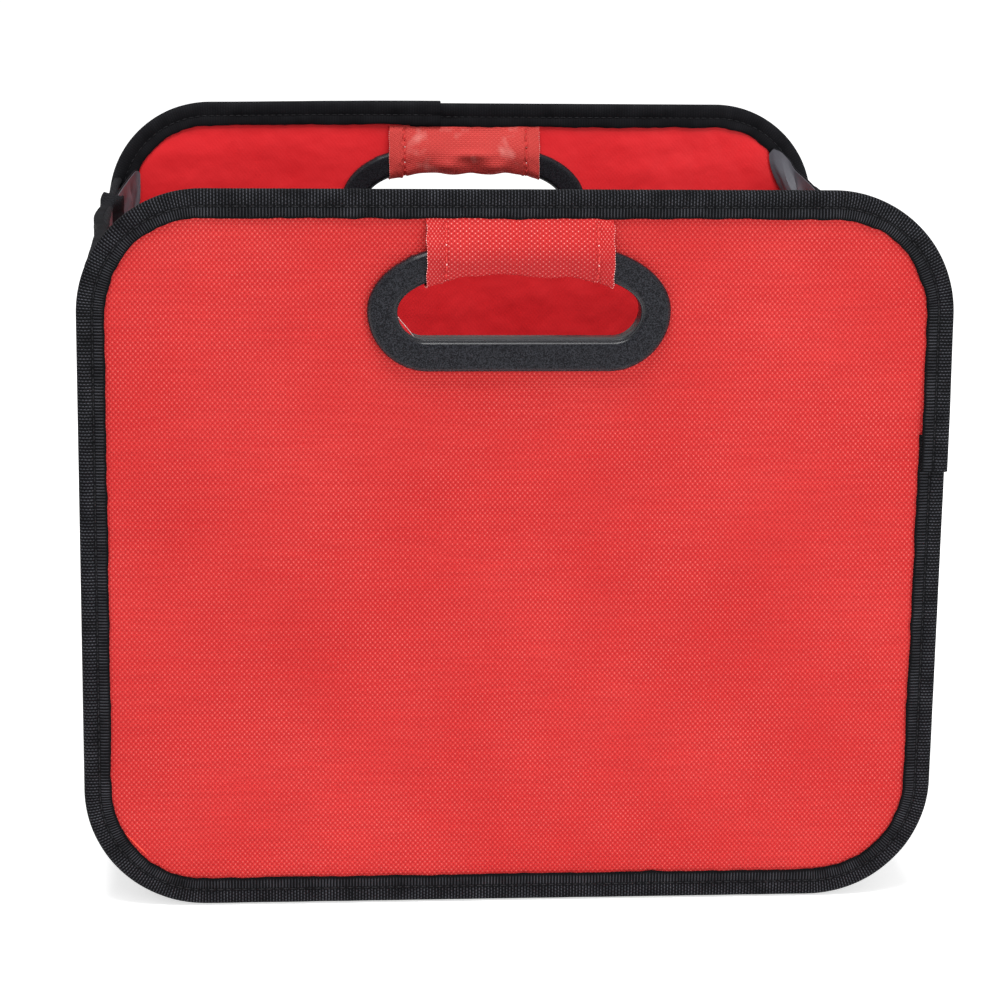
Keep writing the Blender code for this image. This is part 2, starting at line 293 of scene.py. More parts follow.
def red_cloth(name, across, up, dot_highlight, valley_shade, wear=0.0, glint=0.0, under_bar_shade=0.0, faded=0.0):
    """Woven red cloth: pale dots on the yarn tops are partly the yarns' own tone and partly painted
    highlight, glint is a brighter painted highlight on their tips, and the darkening between the yarns is
    painted shade.

    Painted shade darkens the part that goes round the bar, where the strip turns under; faded is how far
    the whole cloth is bleached, and wear is how pale its rubbed patches are.
    """
    finish = Finish(name, (0.62, 0.04, 0.036), 0.75, Specular_IOR_Level=0.15)
    place, weave = woven(finish, across, up)
    tone = finish.noise(place, 14, 3.0)
    fine = finish.noise(place, 900, 2.0)
    yarn_tone = finish.noise(place, 320, 1.0, stretch=(0.12, 1.6, 1))
    # valley marks the hollows between the yarns, darkened below as painted shade; hill marks the yarn tops,
    # lightened as painted highlight.
    valley = (0.0 - weave).above(0.25, 0.95)
    hill = weave.above(0.35, 0.95)
    patchy = finish.noise(place, 24, 2.0).above(0.3, 0.7) * 0.5 + 0.5
    base = finish.mix(tone.above(0.3, 0.7), (0.465, 0.018, 0.018), (0.53, 0.029, 0.028))
    base = finish.mix(yarn_tone.above(0.35, 0.65) * 0.3, base, (0.42, 0.013, 0.015))
    dark = finish.mix(valley * valley_shade, base, (0.22, 0.003, 0.006))
    light = finish.mix(hill * dot_highlight * patchy * fine.above(0.2, 0.6), dark, (0.80, 0.24, 0.21))
    if glint:
        tips = weave.above(0.80, 1.0) * glint * fine.above(0.25, 0.6)
        light = finish.mix(tips, light, (0.92, 0.60, 0.56))
    # Painted shade on the part of the strip that turns under the bar and faces down.
    if under_bar_shade:
        _, along, _ = finish.axes(place)
        held = along.above(*SHADE_FROM) * (1 - along.above(*SHADE_TO))
        light = finish.mix(held * under_bar_shade, light, (0.26, 0.010, 0.014))
    if faded:
        light = finish.mix(faded, light, (0.82, 0.13, 0.11))
    if wear:
        rub = finish.noise(place, 75, 3.0).above(0.56, 0.70)
        light = finish.mix(rub * wear, light, (0.84, 0.34, 0.30))
    finish.feed("Base Color", light)
    finish.bump(weave.size() * 0.8 + fine * 0.25, 0.00016)
    return finish.material


red_weave = red_cloth("red_woven_cloth", YARN_PAIR_ACROSS, YARN_PAIR_UP, 0.52, 0.55)
strip_weave = red_cloth(
    "red_strip_cloth", YARN_PAIR_UP, YARN_PAIR_ACROSS, 0.62, 0.7, glint=0.6, under_bar_shade=0.42,
)
worn_strip_weave = red_cloth(
    "red_worn_strip_cloth", YARN_PAIR_UP, YARN_PAIR_ACROSS, 0.3, 0.4, wear=0.40, faded=0.30,
)
print("yarn pairs in 10 mm:", round(0.01 / YARN_PAIR_ACROSS, 1), "by", round(0.01 / YARN_PAIR_UP, 1))

# %% [markdown]
# ## The coated linings
#
# The inside of the cloth is coated, so it is smooth and deeper in colour, with a satin sheen and faint
# puckers. One function makes the red and the grey. The weave shows through only as a slight bump.

# %% Make the coated finishes
def coated_cloth(name, dark, light, roughness, pucker):
    finish = Finish(name, dark, roughness, Specular_IOR_Level=0.25)
    place, weave = woven(finish, YARN_PAIR_ACROSS, YARN_PAIR_UP)
    tone = finish.noise(place, 22, 3.0)
    soft = finish.noise(place, 60, 2.0)
    fine = finish.noise(place, 1400, 2.0)
    finish.feed("Base Color", finish.mix(tone.above(0.3, 0.72) * 0.8 + fine * 0.2, dark, light))
    finish.feed("Roughness", soft.above(0.3, 0.7) * 0.12 + roughness)
    finish.bump(soft * pucker + weave * 0.012 + fine * 0.04, 0.0010)
    return finish.material


red_coating = coated_cloth("red_coated_cloth", (0.74, 0.014, 0.020), (0.83, 0.021, 0.028), 0.46, 0.9)
grey_coating = coated_cloth("grey_coated_cloth", (0.085, 0.085, 0.100), (0.135, 0.135, 0.155), 0.44, 1.2)
print("coated finishes ready")

# %% [markdown]
# ## The black cloth and the webbing
#
# The sides and the base are black woven cloth, whose yarn tops are lightened as painted highlight.
# The webbing is a grosgrain tape with ribs across it.
# Its outer part is woven in short staggered floats and the part inside the seam in plain ribs.
# Both read the flat place on the cloth, so the ribs follow the tape round every corner. The lighter
# tops of the ribs and floats are painted highlight.

# %% Make the black finishes
RIB_PITCH = 0.00118
FLOAT_PITCH = 0.0013
SEAM_FROM_EDGE = 0.0045


def black_cloth_finish():
    finish = Finish("black_woven_cloth", (0.010, 0.010, 0.012), 0.8, Specular_IOR_Level=0.1)
    place, weave = woven(finish, YARN_PAIR_ACROSS * 0.8, YARN_PAIR_UP * 0.8)
    tone = finish.noise(place, 26, 3.0)
    fine = finish.noise(place, 900, 2.0)
    base = finish.mix(tone.above(0.3, 0.7), (0.007, 0.007, 0.009), (0.013, 0.013, 0.015))
    # The paler yarn tops are painted highlight.
    top = finish.mix(weave.above(0.1, 0.9) * fine.above(0.3, 0.65), base, (0.036, 0.036, 0.041))
    finish.feed("Base Color", top)
    finish.bump(weave.size() * 0.8 + fine * 0.3, 0.00014)
    return finish.material


def webbing_finish(name, rib_highlight_and_relief):
    """Ribbed tape: v counts from the tape's edge, so the band inside the seam can have ribs alone."""
    finish = Finish(name, (0.008, 0.008, 0.010), 0.75, Specular_IOR_Level=0.05)
    place = finish.cloth_place()
    u, v, _ = finish.axes(place)
    sway = finish.noise(place, 400, 1.0) - 0.5
    ribs = ((u / RIB_PITCH + sway * 0.16) * TURN).sine()
    stagger = (u * (TURN / 2 / RIB_PITCH)).sine() * (v * (TURN / FLOAT_PITCH)).sine()
    middle = v.above(SEAM_FROM_EDGE, SEAM_FROM_EDGE + 0.0008)
    groove_start = v.above(SEAM_FROM_EDGE - 0.0003, SEAM_FROM_EDGE)
    groove_end = v.above(SEAM_FROM_EDGE + 0.0009, SEAM_FROM_EDGE + 0.0013)
    selvedge = v.above(0.0008, 0.0017)
    # The lighter rib tops are painted highlight: broken by the floats on the outer band, taken out in the
    # seam groove as painted shade, missing at the selvedge and weaker on the band inside the seam.
    top = ribs.above(0.0, 0.95) * (1 - middle * stagger.above(-0.1, 0.6) * 0.9)
    top = top * (1 - (groove_start - groove_end) * 0.8) * selvedge * (middle * 0.35 + 0.65)
    lint = finish.noise(place, 2600, 1.0).above(0.70, 0.78)
    tone = finish.noise(place, 120, 2.0)
    dim = 0.0024 + (1 - rib_highlight_and_relief) * 0.0036
    base = finish.mix(tone.above(0.3, 0.7), (dim, dim, dim * 1.2), (dim * 1.7, dim * 1.7, dim * 2))
    rib_highlight = top * rib_highlight_and_relief * tone.above(0.1, 0.75)
    ribbed = finish.mix(rib_highlight, base, (0.082, 0.084, 0.098))
    finish.feed("Base Color", finish.mix(lint * 0.35 * rib_highlight_and_relief, ribbed, (0.16, 0.16, 0.17)))
    finish.bump(top + sway * 0.3, 0.00022 * rib_highlight_and_relief)
    return finish.material


black_cloth = black_cloth_finish()
webbing = webbing_finish("black_ribbed_webbing", 1.0)
smooth_webbing = webbing_finish("black_smooth_webbing", 0.12)
side_webbing = webbing_finish("black_side_webbing", 0.40)
print("ribs in 10 mm of webbing:", round(0.01 / RIB_PITCH, 1))

# %% [markdown]
# ## Plastic, thread and board
#
# The hand-hole rings are moulded in charcoal plastic with a fine spark texture and a few specks of lint.
# The threads are plain twisted yarn. The boards hardly show, and get a fibrous grey card. The floor
# glows a little, so that the studio's white has no horizon behind the box.

# %% Make the plastic, thread and board finishes
PANEL_MIDDLE = 0.14675
RING_FACE = (0.0052, 0.0055)


def plastic_finish():
    """Sandy charcoal plastic; its chamfers, nearer the panel's middle than its face, are glossier."""
    finish = Finish(
        "charcoal_plastic", (0.010, 0.011, 0.013), 0.34, Specular_IOR_Level=0.10, Coat_Roughness=0.22,
    )
    place = finish.object_place()
    grain = finish.noise(place, 2400, 2.0)
    cloud = finish.noise(place, 90, 2.0)
    speck = finish.noise(place, 420, 0.0).above(0.86, 0.88)
    base = finish.mix(grain.above(0.40, 0.66), (0.003, 0.003, 0.0045), (0.026, 0.027, 0.033))
    finish.feed("Base Color", finish.mix(speck * 0.6, base, (0.30, 0.31, 0.33)))
    _, y, _ = finish.axes(place)
    from_middle = (y.size() - PANEL_MIDDLE).size()
    finish.feed("Coat Weight", (1 - from_middle.above(*RING_FACE)) * 0.35)
    finish.feed("Roughness", cloud.above(0.3, 0.7) * 0.10 + 0.32)
    finish.bump(grain, 0.00006)
    return finish.material


def thread_finish(name, dark, light):
    finish = Finish(name, dark, 0.7, Specular_IOR_Level=0.15)
    place = finish.object_place()
    twist = finish.noise(place, 2200, 1.0)
    finish.feed("Base Color", finish.mix(twist.above(0.35, 0.65), dark, light))
    return finish.material


def board_finish():
    finish = Finish("grey_card", (0.25, 0.23, 0.20), 0.9)
    place = finish.object_place()
    fibre = finish.noise(place, 160, 4.0, stretch=(1, 1, 5))
    finish.feed("Base Color", finish.mix(fibre, (0.20, 0.18, 0.16), (0.31, 0.29, 0.25)))
    finish.bump(fibre, 0.0002)
    return finish.material


charcoal_plastic = plastic_finish()
black_thread = thread_finish("black_thread", (0.004, 0.004, 0.005), (0.022, 0.022, 0.025))
red_thread = thread_finish("red_thread", (0.42, 0.010, 0.014), (0.74, 0.09, 0.08))
pale_thread = thread_finish("pale_thread_ends", (0.80, 0.45, 0.42), (0.90, 0.80, 0.78))
fray_thread = thread_finish("pale_frayed_edge", (0.74, 0.22, 0.20), (0.86, 0.60, 0.57))
fold_cloth = thread_finish("red_fold", (0.80, 0.055, 0.035), (0.92, 0.12, 0.08))
grey_card = board_finish()

floor_finish = Finish(
    "pale_floor", (0.93, 0.93, 0.93), 0.9, Emission_Color=(1, 1, 1, 1), Emission_Strength=0.60,
)
floor_place = floor_finish.object_place()
floor_tone = floor_finish.noise(floor_place, 1.5, 2.0)
floor_finish.feed("Base Color", floor_finish.mix(floor_tone, (0.92, 0.92, 0.92), (0.95, 0.95, 0.95)))
print("materials:", len(bpy.data.materials))

# %% [markdown]
# ## Cloth is never quite flat
#
# Real cloth has shallow waves of many sizes and directions. `ripples` adds up a few smooth ones from a
# fixed seed, so each sheet gets its own and gets the same ones each time. `ease` and `hump` say where.

# %% Define the waves
def ripples(u, v, wavelength, seed, waves=7):
    """Smooth waves, mostly between -1 and 1, of about one wavelength in many directions."""
    draw = np.random.default_rng(seed)
    total = np.zeros(np.broadcast(u, v).shape)
    for _ in range(waves):
        angle, phase = draw.uniform(0, TURN, 2)
        pace = TURN / (wavelength * draw.uniform(0.7, 1.5))
        total += np.cos(pace * (u * np.cos(angle) + v * np.sin(angle)) + phase)
    return total / math.sqrt(waves)


def ease(value, low, high):
    """Rises smoothly from 0 at low to 1 at high."""
    share = np.clip((value - low) / (high - low), 0, 1)
    return share * share * (3 - 2 * share)


def hump(value, centre, width):
    return np.exp(-(((value - centre) / width) ** 2))


def slack_cloth(u, v, long, short, seed):
    """Two sizes of waves at once, as in cloth that isn't pulled tight."""
    return ripples(u, v, long, seed) * 0.6 + ripples(u, v, short, seed + 1) * 0.4


print("waves ready")

# %% [markdown]
# ## Turning grids of points into cloth
#
# Nearly every piece here is a sheet or a tape, so it is a grid of points with a thickness. `skin` joins
# a front and a back grid into one closed shell, and writes the flat place of each point to the UV map
# named cloth. `settle` turns its faces outward and keeps only its sharp folds sharp.

# %% Define the mesh helpers
SHARP_ANGLE = math.radians(45)


def skin(name, front, back=None, uv=None, wrap=(False, False)):
    """Closed shell from one grid (a tube) or two (a sheet). uv has one more row or column where it wraps."""
    rows, columns = front.shape[:2]
    count = rows * columns
    points = [front.reshape(-1, 3)] + ([] if back is None else [back.reshape(-1, 3)])
    faces, places = [], []

    def add(corners, layers, flip=False):
        pairs = zip(corners, layers)
        spots = [(i % rows) * columns + j % columns + layer * count for (i, j), layer in pairs]
        if flip:
            spots, corners = spots[::-1], corners[::-1]
        faces.append(spots)
        places.extend(corners)

    for i in range(rows if wrap[0] else rows - 1):
        for j in range(columns if wrap[1] else columns - 1):
            quad = [(i, j), (i, j + 1), (i + 1, j + 1), (i + 1, j)]
            add(quad, (0,) * 4)
            if back is not None:
                add(quad, (1,) * 4, flip=True)
    if back is not None:
        if not wrap[0]:
            for j in range(columns if wrap[1] else columns - 1):
                add([(0, j), (0, j + 1), (0, j + 1), (0, j)], (1, 1, 0, 0))
                add([(rows - 1, j), (rows - 1, j + 1), (rows - 1, j + 1), (rows - 1, j)], (0, 0, 1, 1))
        if not wrap[1]:
            for i in range(rows if wrap[0] else rows - 1):
                add([(i, 0), (i + 1, 0), (i + 1, 0), (i, 0)], (0, 0, 1, 1))
                last = columns - 1
                add([(i, last), (i + 1, last), (i + 1, last), (i, last)], (1, 1, 0, 0))
    elif not wrap[0]:
        add([(0, j) for j in range(columns)], (0,) * columns, flip=True)
        add([(rows - 1, j) for j in range(columns)], (0,) * columns)
    mesh = bpy.data.meshes.new(name)
    mesh.from_pydata(np.concatenate(points).tolist(), [], faces)
    if uv is not None:
        layer = mesh.uv_layers.new(name="cloth")
        flat = np.array([uv[i, j] for i, j in places], np.float32)
        layer.data.foreach_set("uv", flat.ravel())
    return settle(name, mesh)


def settle(name, mesh):
    """Makes faces point outward, smooths the shading and puts the mesh in the scene."""
    bm = bmesh.new()
    bm.from_mesh(mesh)
    bmesh.ops.recalc_face_normals(bm, faces=bm.faces)
    bm.to_mesh(mesh)
    bm.free()
    mesh.shade_smooth()
    mesh.set_sharp_from_angle(angle=SHARP_ANGLE)
    made = bpy.data.objects.new(name, mesh)
    bpy.context.scene.collection.objects.link(made)
    return made


print("sharp folds from", round(math.degrees(SHARP_ANGLE)), "degrees")

# %% [markdown]
# Each piece gets a finish and a slot, hides the nodes of the imported model that it stands for, and
# some ride on a body. The box is alike on its left and its right and at both ends, so `quarters` walks
# through its four quarters, with the names and signs that the pieces there need.

# %% Define the dressing helpers
ENDS = (("front", -1), ("rear", 1))
HANDS = (("left", -1), ("right", 1))


def dress(piece, finish, body=None, replaces=()):
    """Gives a piece its finish and slot, hides the imported parts that it stands for, and lets it ride on a
    body.
    """
    piece.data.materials.clear()
    piece.data.materials.append(finish)
    if body:
        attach(piece, body)
    if replaces:
        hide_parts(*replaces)


def normals_of(grid):
    """Unit normals of a grid of points, from its own differences."""
    found = np.cross(np.gradient(grid, axis=0), np.gradient(grid, axis=1))
    return found / np.maximum(np.linalg.norm(found, axis=2, keepdims=True), 1e-12)


def distance_along(points):
    """How far each point of a line lies from its start, along the line."""
    return np.concatenate([[0], np.cumsum(np.linalg.norm(np.diff(points, axis=0), axis=1))])


def one_side(piece):
    """The area of one side of a thin sheet."""
    return float(sum(face.area for face in piece.data.polygons)) / 2


def in_card(node):
    """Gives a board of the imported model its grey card."""
    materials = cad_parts[node].data.materials
    materials.clear()
    materials.append(grey_card)


def quarters(seed, step):
    """Each quarter of the box: its hand and its end, their signs, and a seed of its own."""
    for hand, flank in HANDS:
        for end, side in ENDS:
            seed += step
            yield hand, end, flank, side, seed


print("quarters:", ", ".join(f"{hand} {end}" for hand, end, *_ in quarters(0, 1)))

# %% [markdown]
# ## Stitches with Geometry Nodes
#
# A seam is one short stitch repeated along a line, which is just what Geometry Nodes are for. The tree
# turns a line into a curve, spaces points along it, sets a small rounded stitch on each one, in line
# with the curve, and varies its length a little from a fixed seed. It ends as plain mesh.

# %% Build the stitch tree
STITCH_VARIES = (0.84, 1.08)


def build_stitch_tree():
    tree = bpy.data.node_groups.new("stitches along a line", "GeometryNodeTree")
    tree.interface.new_socket("Geometry", in_out="OUTPUT", socket_type="NodeSocketGeometry")
    for name, kind in (
        ("Geometry", "Geometry"), ("Pitch", "Float"), ("Stitch length", "Float"),
        ("Thread", "Float"), ("Seed", "Int"), ("Finish", "Material"),
    ):
        tree.interface.new_socket(name, in_out="INPUT", socket_type="NodeSocket" + kind)
    nodes, link = tree.nodes, tree.links.new
    start, end = nodes.new("NodeGroupInput"), nodes.new("NodeGroupOutput")
    curve = nodes.new("GeometryNodeMeshToCurve")
    spaced = nodes.new("GeometryNodeResampleCurve")
    spaced.mode = "LENGTH"
    ball = nodes.new("GeometryNodeMeshUVSphere")
    ball.inputs["Segments"].default_value = 6
    ball.inputs["Rings"].default_value = 5
    ball.inputs["Radius"].default_value = 0.5
    shape = nodes.new("ShaderNodeCombineXYZ")
    stretch = nodes.new("GeometryNodeTransform")
    smooth = nodes.new("GeometryNodeSetShadeSmooth")
    vary = nodes.new("FunctionNodeRandomValue")
    vary.data_type = "FLOAT"
    tangent = nodes.new("GeometryNodeInputTangent")
    turn = nodes.new("FunctionNodeAlignRotationToVector")
    turn.axis = "X"
    place = nodes.new("GeometryNodeInstanceOnPoints")
    solid = nodes.new("GeometryNodeRealizeInstances")
    paint = nodes.new("GeometryNodeSetMaterial")
    floats = [s for s in vary.inputs if s.type == "VALUE"]
    floats[0].default_value, floats[1].default_value = STITCH_VARIES
    link(start.outputs["Geometry"], curve.inputs["Mesh"])
    link(curve.outputs[0], spaced.inputs["Curve"])
    link(start.outputs["Pitch"], spaced.inputs["Length"])
    link(start.outputs["Stitch length"], shape.inputs["X"])
    link(start.outputs["Thread"], shape.inputs["Y"])
    link(start.outputs["Thread"], shape.inputs["Z"])
    link(ball.outputs["Mesh"], stretch.inputs["Geometry"])
    link(shape.outputs[0], stretch.inputs["Scale"])
    link(stretch.outputs[0], smooth.inputs[0])
    link(start.outputs["Seed"], vary.inputs["Seed"])
    link(tangent.outputs[0], turn.inputs["Vector"])
    link(spaced.outputs[0], place.inputs["Points"])
    link(smooth.outputs[0], place.inputs["Instance"])
    link(turn.outputs[0], place.inputs["Rotation"])
    link([s for s in vary.outputs if s.type == "VALUE" and s.enabled][0], place.inputs["Scale"])
    link(place.outputs[0], solid.inputs[0])
    link(solid.outputs[0], paint.inputs["Geometry"])
    link(start.outputs["Finish"], paint.inputs["Material"])
    link(paint.outputs[0], end.inputs[0])
    return tree


stitch_tree = build_stitch_tree()
print("stitch tree:", len(stitch_tree.nodes), "nodes")

# %% [markdown]
# `sew` gives the tree a line to follow. The line is a bare mesh of edges, and once the modifier has
# made the stitches, `new_from_object` keeps them as a plain mesh and the line is thrown away.

# %% Define the sewing
STITCH_PITCH, STITCH_LENGTH = 0.0031, 0.0026


def sew(name, lines, pitch, length, thread, finish, body, seed=3):
    """Stitches along every line, as one plain mesh that rides on a body."""
    points = np.concatenate(lines)
    edges, first = [], 0
    for line in lines:
        edges += [(first + k, first + k + 1) for k in range(len(line) - 1)]
        first += len(line)
    guide_mesh = bpy.data.meshes.new(name + "_guide")
    guide_mesh.from_pydata(points.tolist(), edges, [])
    guide = bpy.data.objects.new(name + "_guide", guide_mesh)
    bpy.context.scene.collection.objects.link(guide)
    modifier = guide.modifiers.new("stitches", "NODES")
    modifier.node_group = stitch_tree
    values = {"Pitch": pitch, "Stitch length": length, "Thread": thread, "Seed": seed, "Finish": finish}
    for item in stitch_tree.interface.items_tree:
        if item.in_out == "INPUT" and item.name in values:
            modifier[item.identifier] = values[item.name]
    ready = guide.evaluated_get(bpy.context.evaluated_depsgraph_get())
    mesh = bpy.data.meshes.new_from_object(ready)
    bpy.data.objects.remove(guide)
    made = bpy.data.objects.new(name, mesh)
    bpy.context.scene.collection.objects.link(made)
    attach(made, body)
    print(name, len(mesh.polygons), "faces")


# %% [markdown]
# ## The end panels' own lines
#
# The panel is a rounded rectangle. Its outline is written once here as a walk of lines and arcs, so the
# cloth and the webbing follow the same line as the solid model.

# %% Define the panel's outline
PANEL_WIDTH, PANEL_HEIGHT, CORNER_RADIUS = 0.325, 0.275, 0.046
STACK_HALF, COVER, LINER = 0.00195, 0.0005, 0.0004
WEBBING_FACE, WEBBING_CLOTH = 0.0105, 0.0010


class Edge:
    """The panel's rounded outline as a closed walk: down the right side, left along the bottom, and on."""

    def __init__(self):
        side, top, r = PANEL_WIDTH / 2, PANEL_HEIGHT, CORNER_RADIUS
        quarter = math.pi / 2
        self.parts = [
            ("line", (side, top - r), (0, -1), (-1, 0), top - 2 * r),
            ("arc", (side - r, r), 0.0, -quarter, quarter * r),
            ("line", (side - r, 0.0), (-1, 0), (0, 1), 2 * (side - r)),
            ("arc", (-side + r, r), -quarter, -quarter, quarter * r),
            ("line", (-side, r), (0, 1), (1, 0), top - 2 * r),
            ("arc", (-side + r, top - r), 2 * quarter, -quarter, quarter * r),
            ("line", (-side + r, top), (1, 0), (0, -1), 2 * (side - r)),
            ("arc", (side - r, top - r), quarter, -quarter, quarter * r),
        ]
        self.length = sum(part[-1] for part in self.parts)

    def at(self, distance):
        """Points on the outline and the inward directions there, for an array of distances."""
        spots = np.zeros((len(distance), 2))
        inward = np.zeros((len(distance), 2))
        left = np.mod(distance, self.length)
        start = 0.0
        for kind, origin, *rest, length in self.parts:
            here = (left >= start) & (left <= start + length)
            step = left[here] - start
            if kind == "line":
                direction, normal = rest
                spots[here] = np.array(origin) + step[:, None] * np.array(direction)
                inward[here] = normal
            else:
                first, sweep = rest
                angle = first + sweep * step / length
                out = np.stack([np.cos(angle), np.sin(angle)], 1)
                spots[here] = np.array(origin) + CORNER_RADIUS * out
                inward[here] = -out
            start += length
        return spots, inward


edge = Edge()
print("webbing round one panel:", round(edge.length, 3), "m")

# %% [markdown]
# The hand hole and the ring's rim are ovals of four quarter ellipses with straight runs between them,
# with wide round ends above and small ones below. `band` gives any line between the two, for the cut
# in the cloth and for the ring's section.

# %% Define the ring's ovals
RING_HEIGHT_UP = 0.2305
# Half width, height above and below the middle, and reach of the round ends above and below.
HOLE = (0.0451, 0.0145, 0.0105, 0.0330, 0.0100)
RIM = (0.0562, 0.0245, 0.0227, 0.0380, 0.0230)
# The cloth is cut where the ring's band hides it, at this share of the band.
HOLE_CUT = 0.165


def oval_points(half_width, rise, drop, top_reach, bottom_reach, steps=40, run=12):
    """The oval's points in X and Z, from the right end over the top, with the runs divided too."""
    turn = np.linspace(0, math.pi / 2, steps)
    top, low = half_width - top_reach, half_width - bottom_reach
    pieces = [
        (top + top_reach * np.cos(turn), rise * np.sin(turn)),
        (np.linspace(top, -top, run)[1:-1], np.full(run - 2, rise)),
        (-top - top_reach * np.cos(turn[::-1]), rise * np.sin(turn[::-1])),
        (-low - bottom_reach * np.cos(turn[1:]), -drop * np.sin(turn[1:])),
        (np.linspace(-low, low, run)[1:-1], np.full(run - 2, -drop)),
        (low + bottom_reach * np.cos(turn[:0:-1]), -drop * np.sin(turn[:0:-1])),
    ]
    x, z = (np.concatenate([piece[k] for piece in pieces]) for k in (0, 1))
    return np.stack([x, z + RING_HEIGHT_UP], 1)


def band(share):
    """A line on the ring's band: share 0 is the edge of the hole and 1 the outer edge."""
    return oval_points(*HOLE) * (1 - share) + oval_points(*RIM) * share


print("points round the ring:", len(band(1.0)))

# %% [markdown]
# ## The red cover and the liner
#
# Each face of the board carries one sheet, cut round at the corners and open at the hand hole. A sheet
# with a hole is easiest as a ring of rays from the hole's edge to the outline. The cover is glued
# nearly flat, and the liner is slacker, so it gets more puckers.

# %% Make covers and liners
RAYS, RINGS, OUTLINE_POINTS = 256, 40, 1400
TUCK_X, TUCK_Z = -0.1385, 0.0225


def ray_hits(outline, angles):
    """Where rays from the ring's centre meet a closed outline, sorted by angle."""
    offset = outline - np.array([0.0, RING_HEIGHT_UP])
    bearing = np.unwrap(np.arctan2(offset[:, 1], offset[:, 0]))
    order = np.argsort(np.mod(bearing, TURN))
    bearing, offset = np.mod(bearing, TURN)[order], offset[order]
    bearing = np.concatenate([bearing[-1:] - TURN, bearing, bearing[:1] + TURN])
    offset = np.concatenate([offset[-1:], offset, offset[:1]])
    x = np.interp(angles, bearing, offset[:, 0])
    z = np.interp(angles, bearing, offset[:, 1])
    return np.stack([x, z + RING_HEIGHT_UP], 1)


def panel_sheet(end, side, kind, thickness, outward, slack, seed, finish):
    """A sheet on one face of a board: outward is 1 on the outer face and -1 on the inner one."""
    spots, inward = edge.at(np.linspace(0, edge.length, OUTLINE_POINTS, endpoint=False))
    outer = spots + inward * (WEBBING_CLOTH + 0.0004)
    bearings = np.arctan2(outer[:, 1] - RING_HEIGHT_UP, outer[:, 0])
    even = np.quantile(np.sort(np.mod(bearings, TURN)), np.linspace(0, 1, RAYS, endpoint=False))
    angles = 0.5 * even + 0.5 * np.linspace(0, TURN, RAYS, endpoint=False)
    inner_line, outer_line = ray_hits(band(HOLE_CUT), angles), ray_hits(outer, angles)
    shares = np.linspace(0, 1, RINGS)[:, None, None] ** 1.3
    flat = inner_line[None] * (1 - shares) + outer_line[None] * shares
    x, z = flat[..., 0], flat[..., 1]
    from_webbing = np.minimum(PANEL_WIDTH / 2 - np.abs(x), np.minimum(z, PANEL_HEIGHT - z))
    from_ring = np.hypot(x / 0.07, (z - RING_HEIGHT_UP) / 0.04)
    free = ease(from_webbing, 0.009, 0.024) * ease(from_ring, 0.8, 1.25)
    lift = slack * free * (0.6 + slack_cloth(x, z, 0.045, 0.018, seed) * 0.5).clip(0, 2)
    if kind == "cover" and end == "front":
        lift += 0.0012 * hump(x, TUCK_X, 0.004) * hump(z, TUCK_Z, 0.0045)
    face = STACK_HALF + lift

    def placed(distance):
        return np.stack([x, side * (PANEL_MIDDLE + outward * distance), z], 2)

    places = np.stack([x, z], 2)
    places = np.concatenate([places, places[:, :1]], 1)
    piece = skin(f"{end}_red_{kind}", placed(face), placed(face - thickness), places, wrap=(False, True))
    dress(piece, finish, end + "_panel", [f"{end}_{kind}"])


for end, side in ENDS:
    panel_sheet(end, side, "cover", COVER, 1, 0.00012, 11 + side, red_weave)
    panel_sheet(end, side, "liner", LINER, -1, 0.0007, 31 + side, red_coating)
    in_card(end + "_board")
print("covers and liners made")

# %% [markdown]
# ## The webbing round each panel
#
# The tape is folded over the panel's edge and sewn through. Its section is a flattened channel with a
# dent where the seam pulls it in. The section is carried round the outline, and its free edges wander
# a little. The tape's end lies over its start, which shows as a small step in the outline.

# %% Make the edge webbing
STATIONS = 860
OVERLAP, OVERLAP_SHIFT, OVERLAP_LIFT = 0.014, 0.00095, 0.0010
SEAM_DEPTH = 0.00298
SEAM_INSET = WEBBING_FACE - SEAM_FROM_EDGE
# Half of the section in millimetres: inset from the panel's edge, and depth from its middle.
FACE_PROFILE = (
    (10.50, 2.62), (10.42, 3.00), (10.0, 3.20), (8.6, 3.28), (7.2, 3.20), (6.45, 3.02), (6.0, 2.90),
    (5.55, 3.02), (4.8, 3.24), (3.5, 3.38), (2.2, 3.34), (1.2, 3.12), (0.55, 2.66), (0.18, 1.9), (0.03, 1.0),
)
BACK_PROFILE = ((1.05, 0.9), (1.15, 2.1), (6.0, 2.12), (10.45, 2.2))


def webbing_section():
    """The closed section: inset from the edge and depth, with the outer face first."""
    front = [(t / 1000, d / 1000) for t, d in FACE_PROFILE]
    rear = [(t, -d) for t, d in reversed(front)]
    inner = [(t / 1000, -d / 1000) for t, d in reversed(BACK_PROFILE)]
    inner += [(t / 1000, d / 1000) for t, d in BACK_PROFILE]
    return np.array(front + [(0.0, 0.0)] + rear + inner), len(front) * 2 + 1


def tape_places(section, outer_count, walk):
    """Flat places on a folded tape: how far along it, and how far from its nearer edge."""
    across = distance_along(section)
    from_edge = np.minimum(across, np.abs(across[outer_count - 1] - across))
    return np.stack(np.broadcast_arrays(walk[:, None], np.append(from_edge, 0.0)[None]), 2)


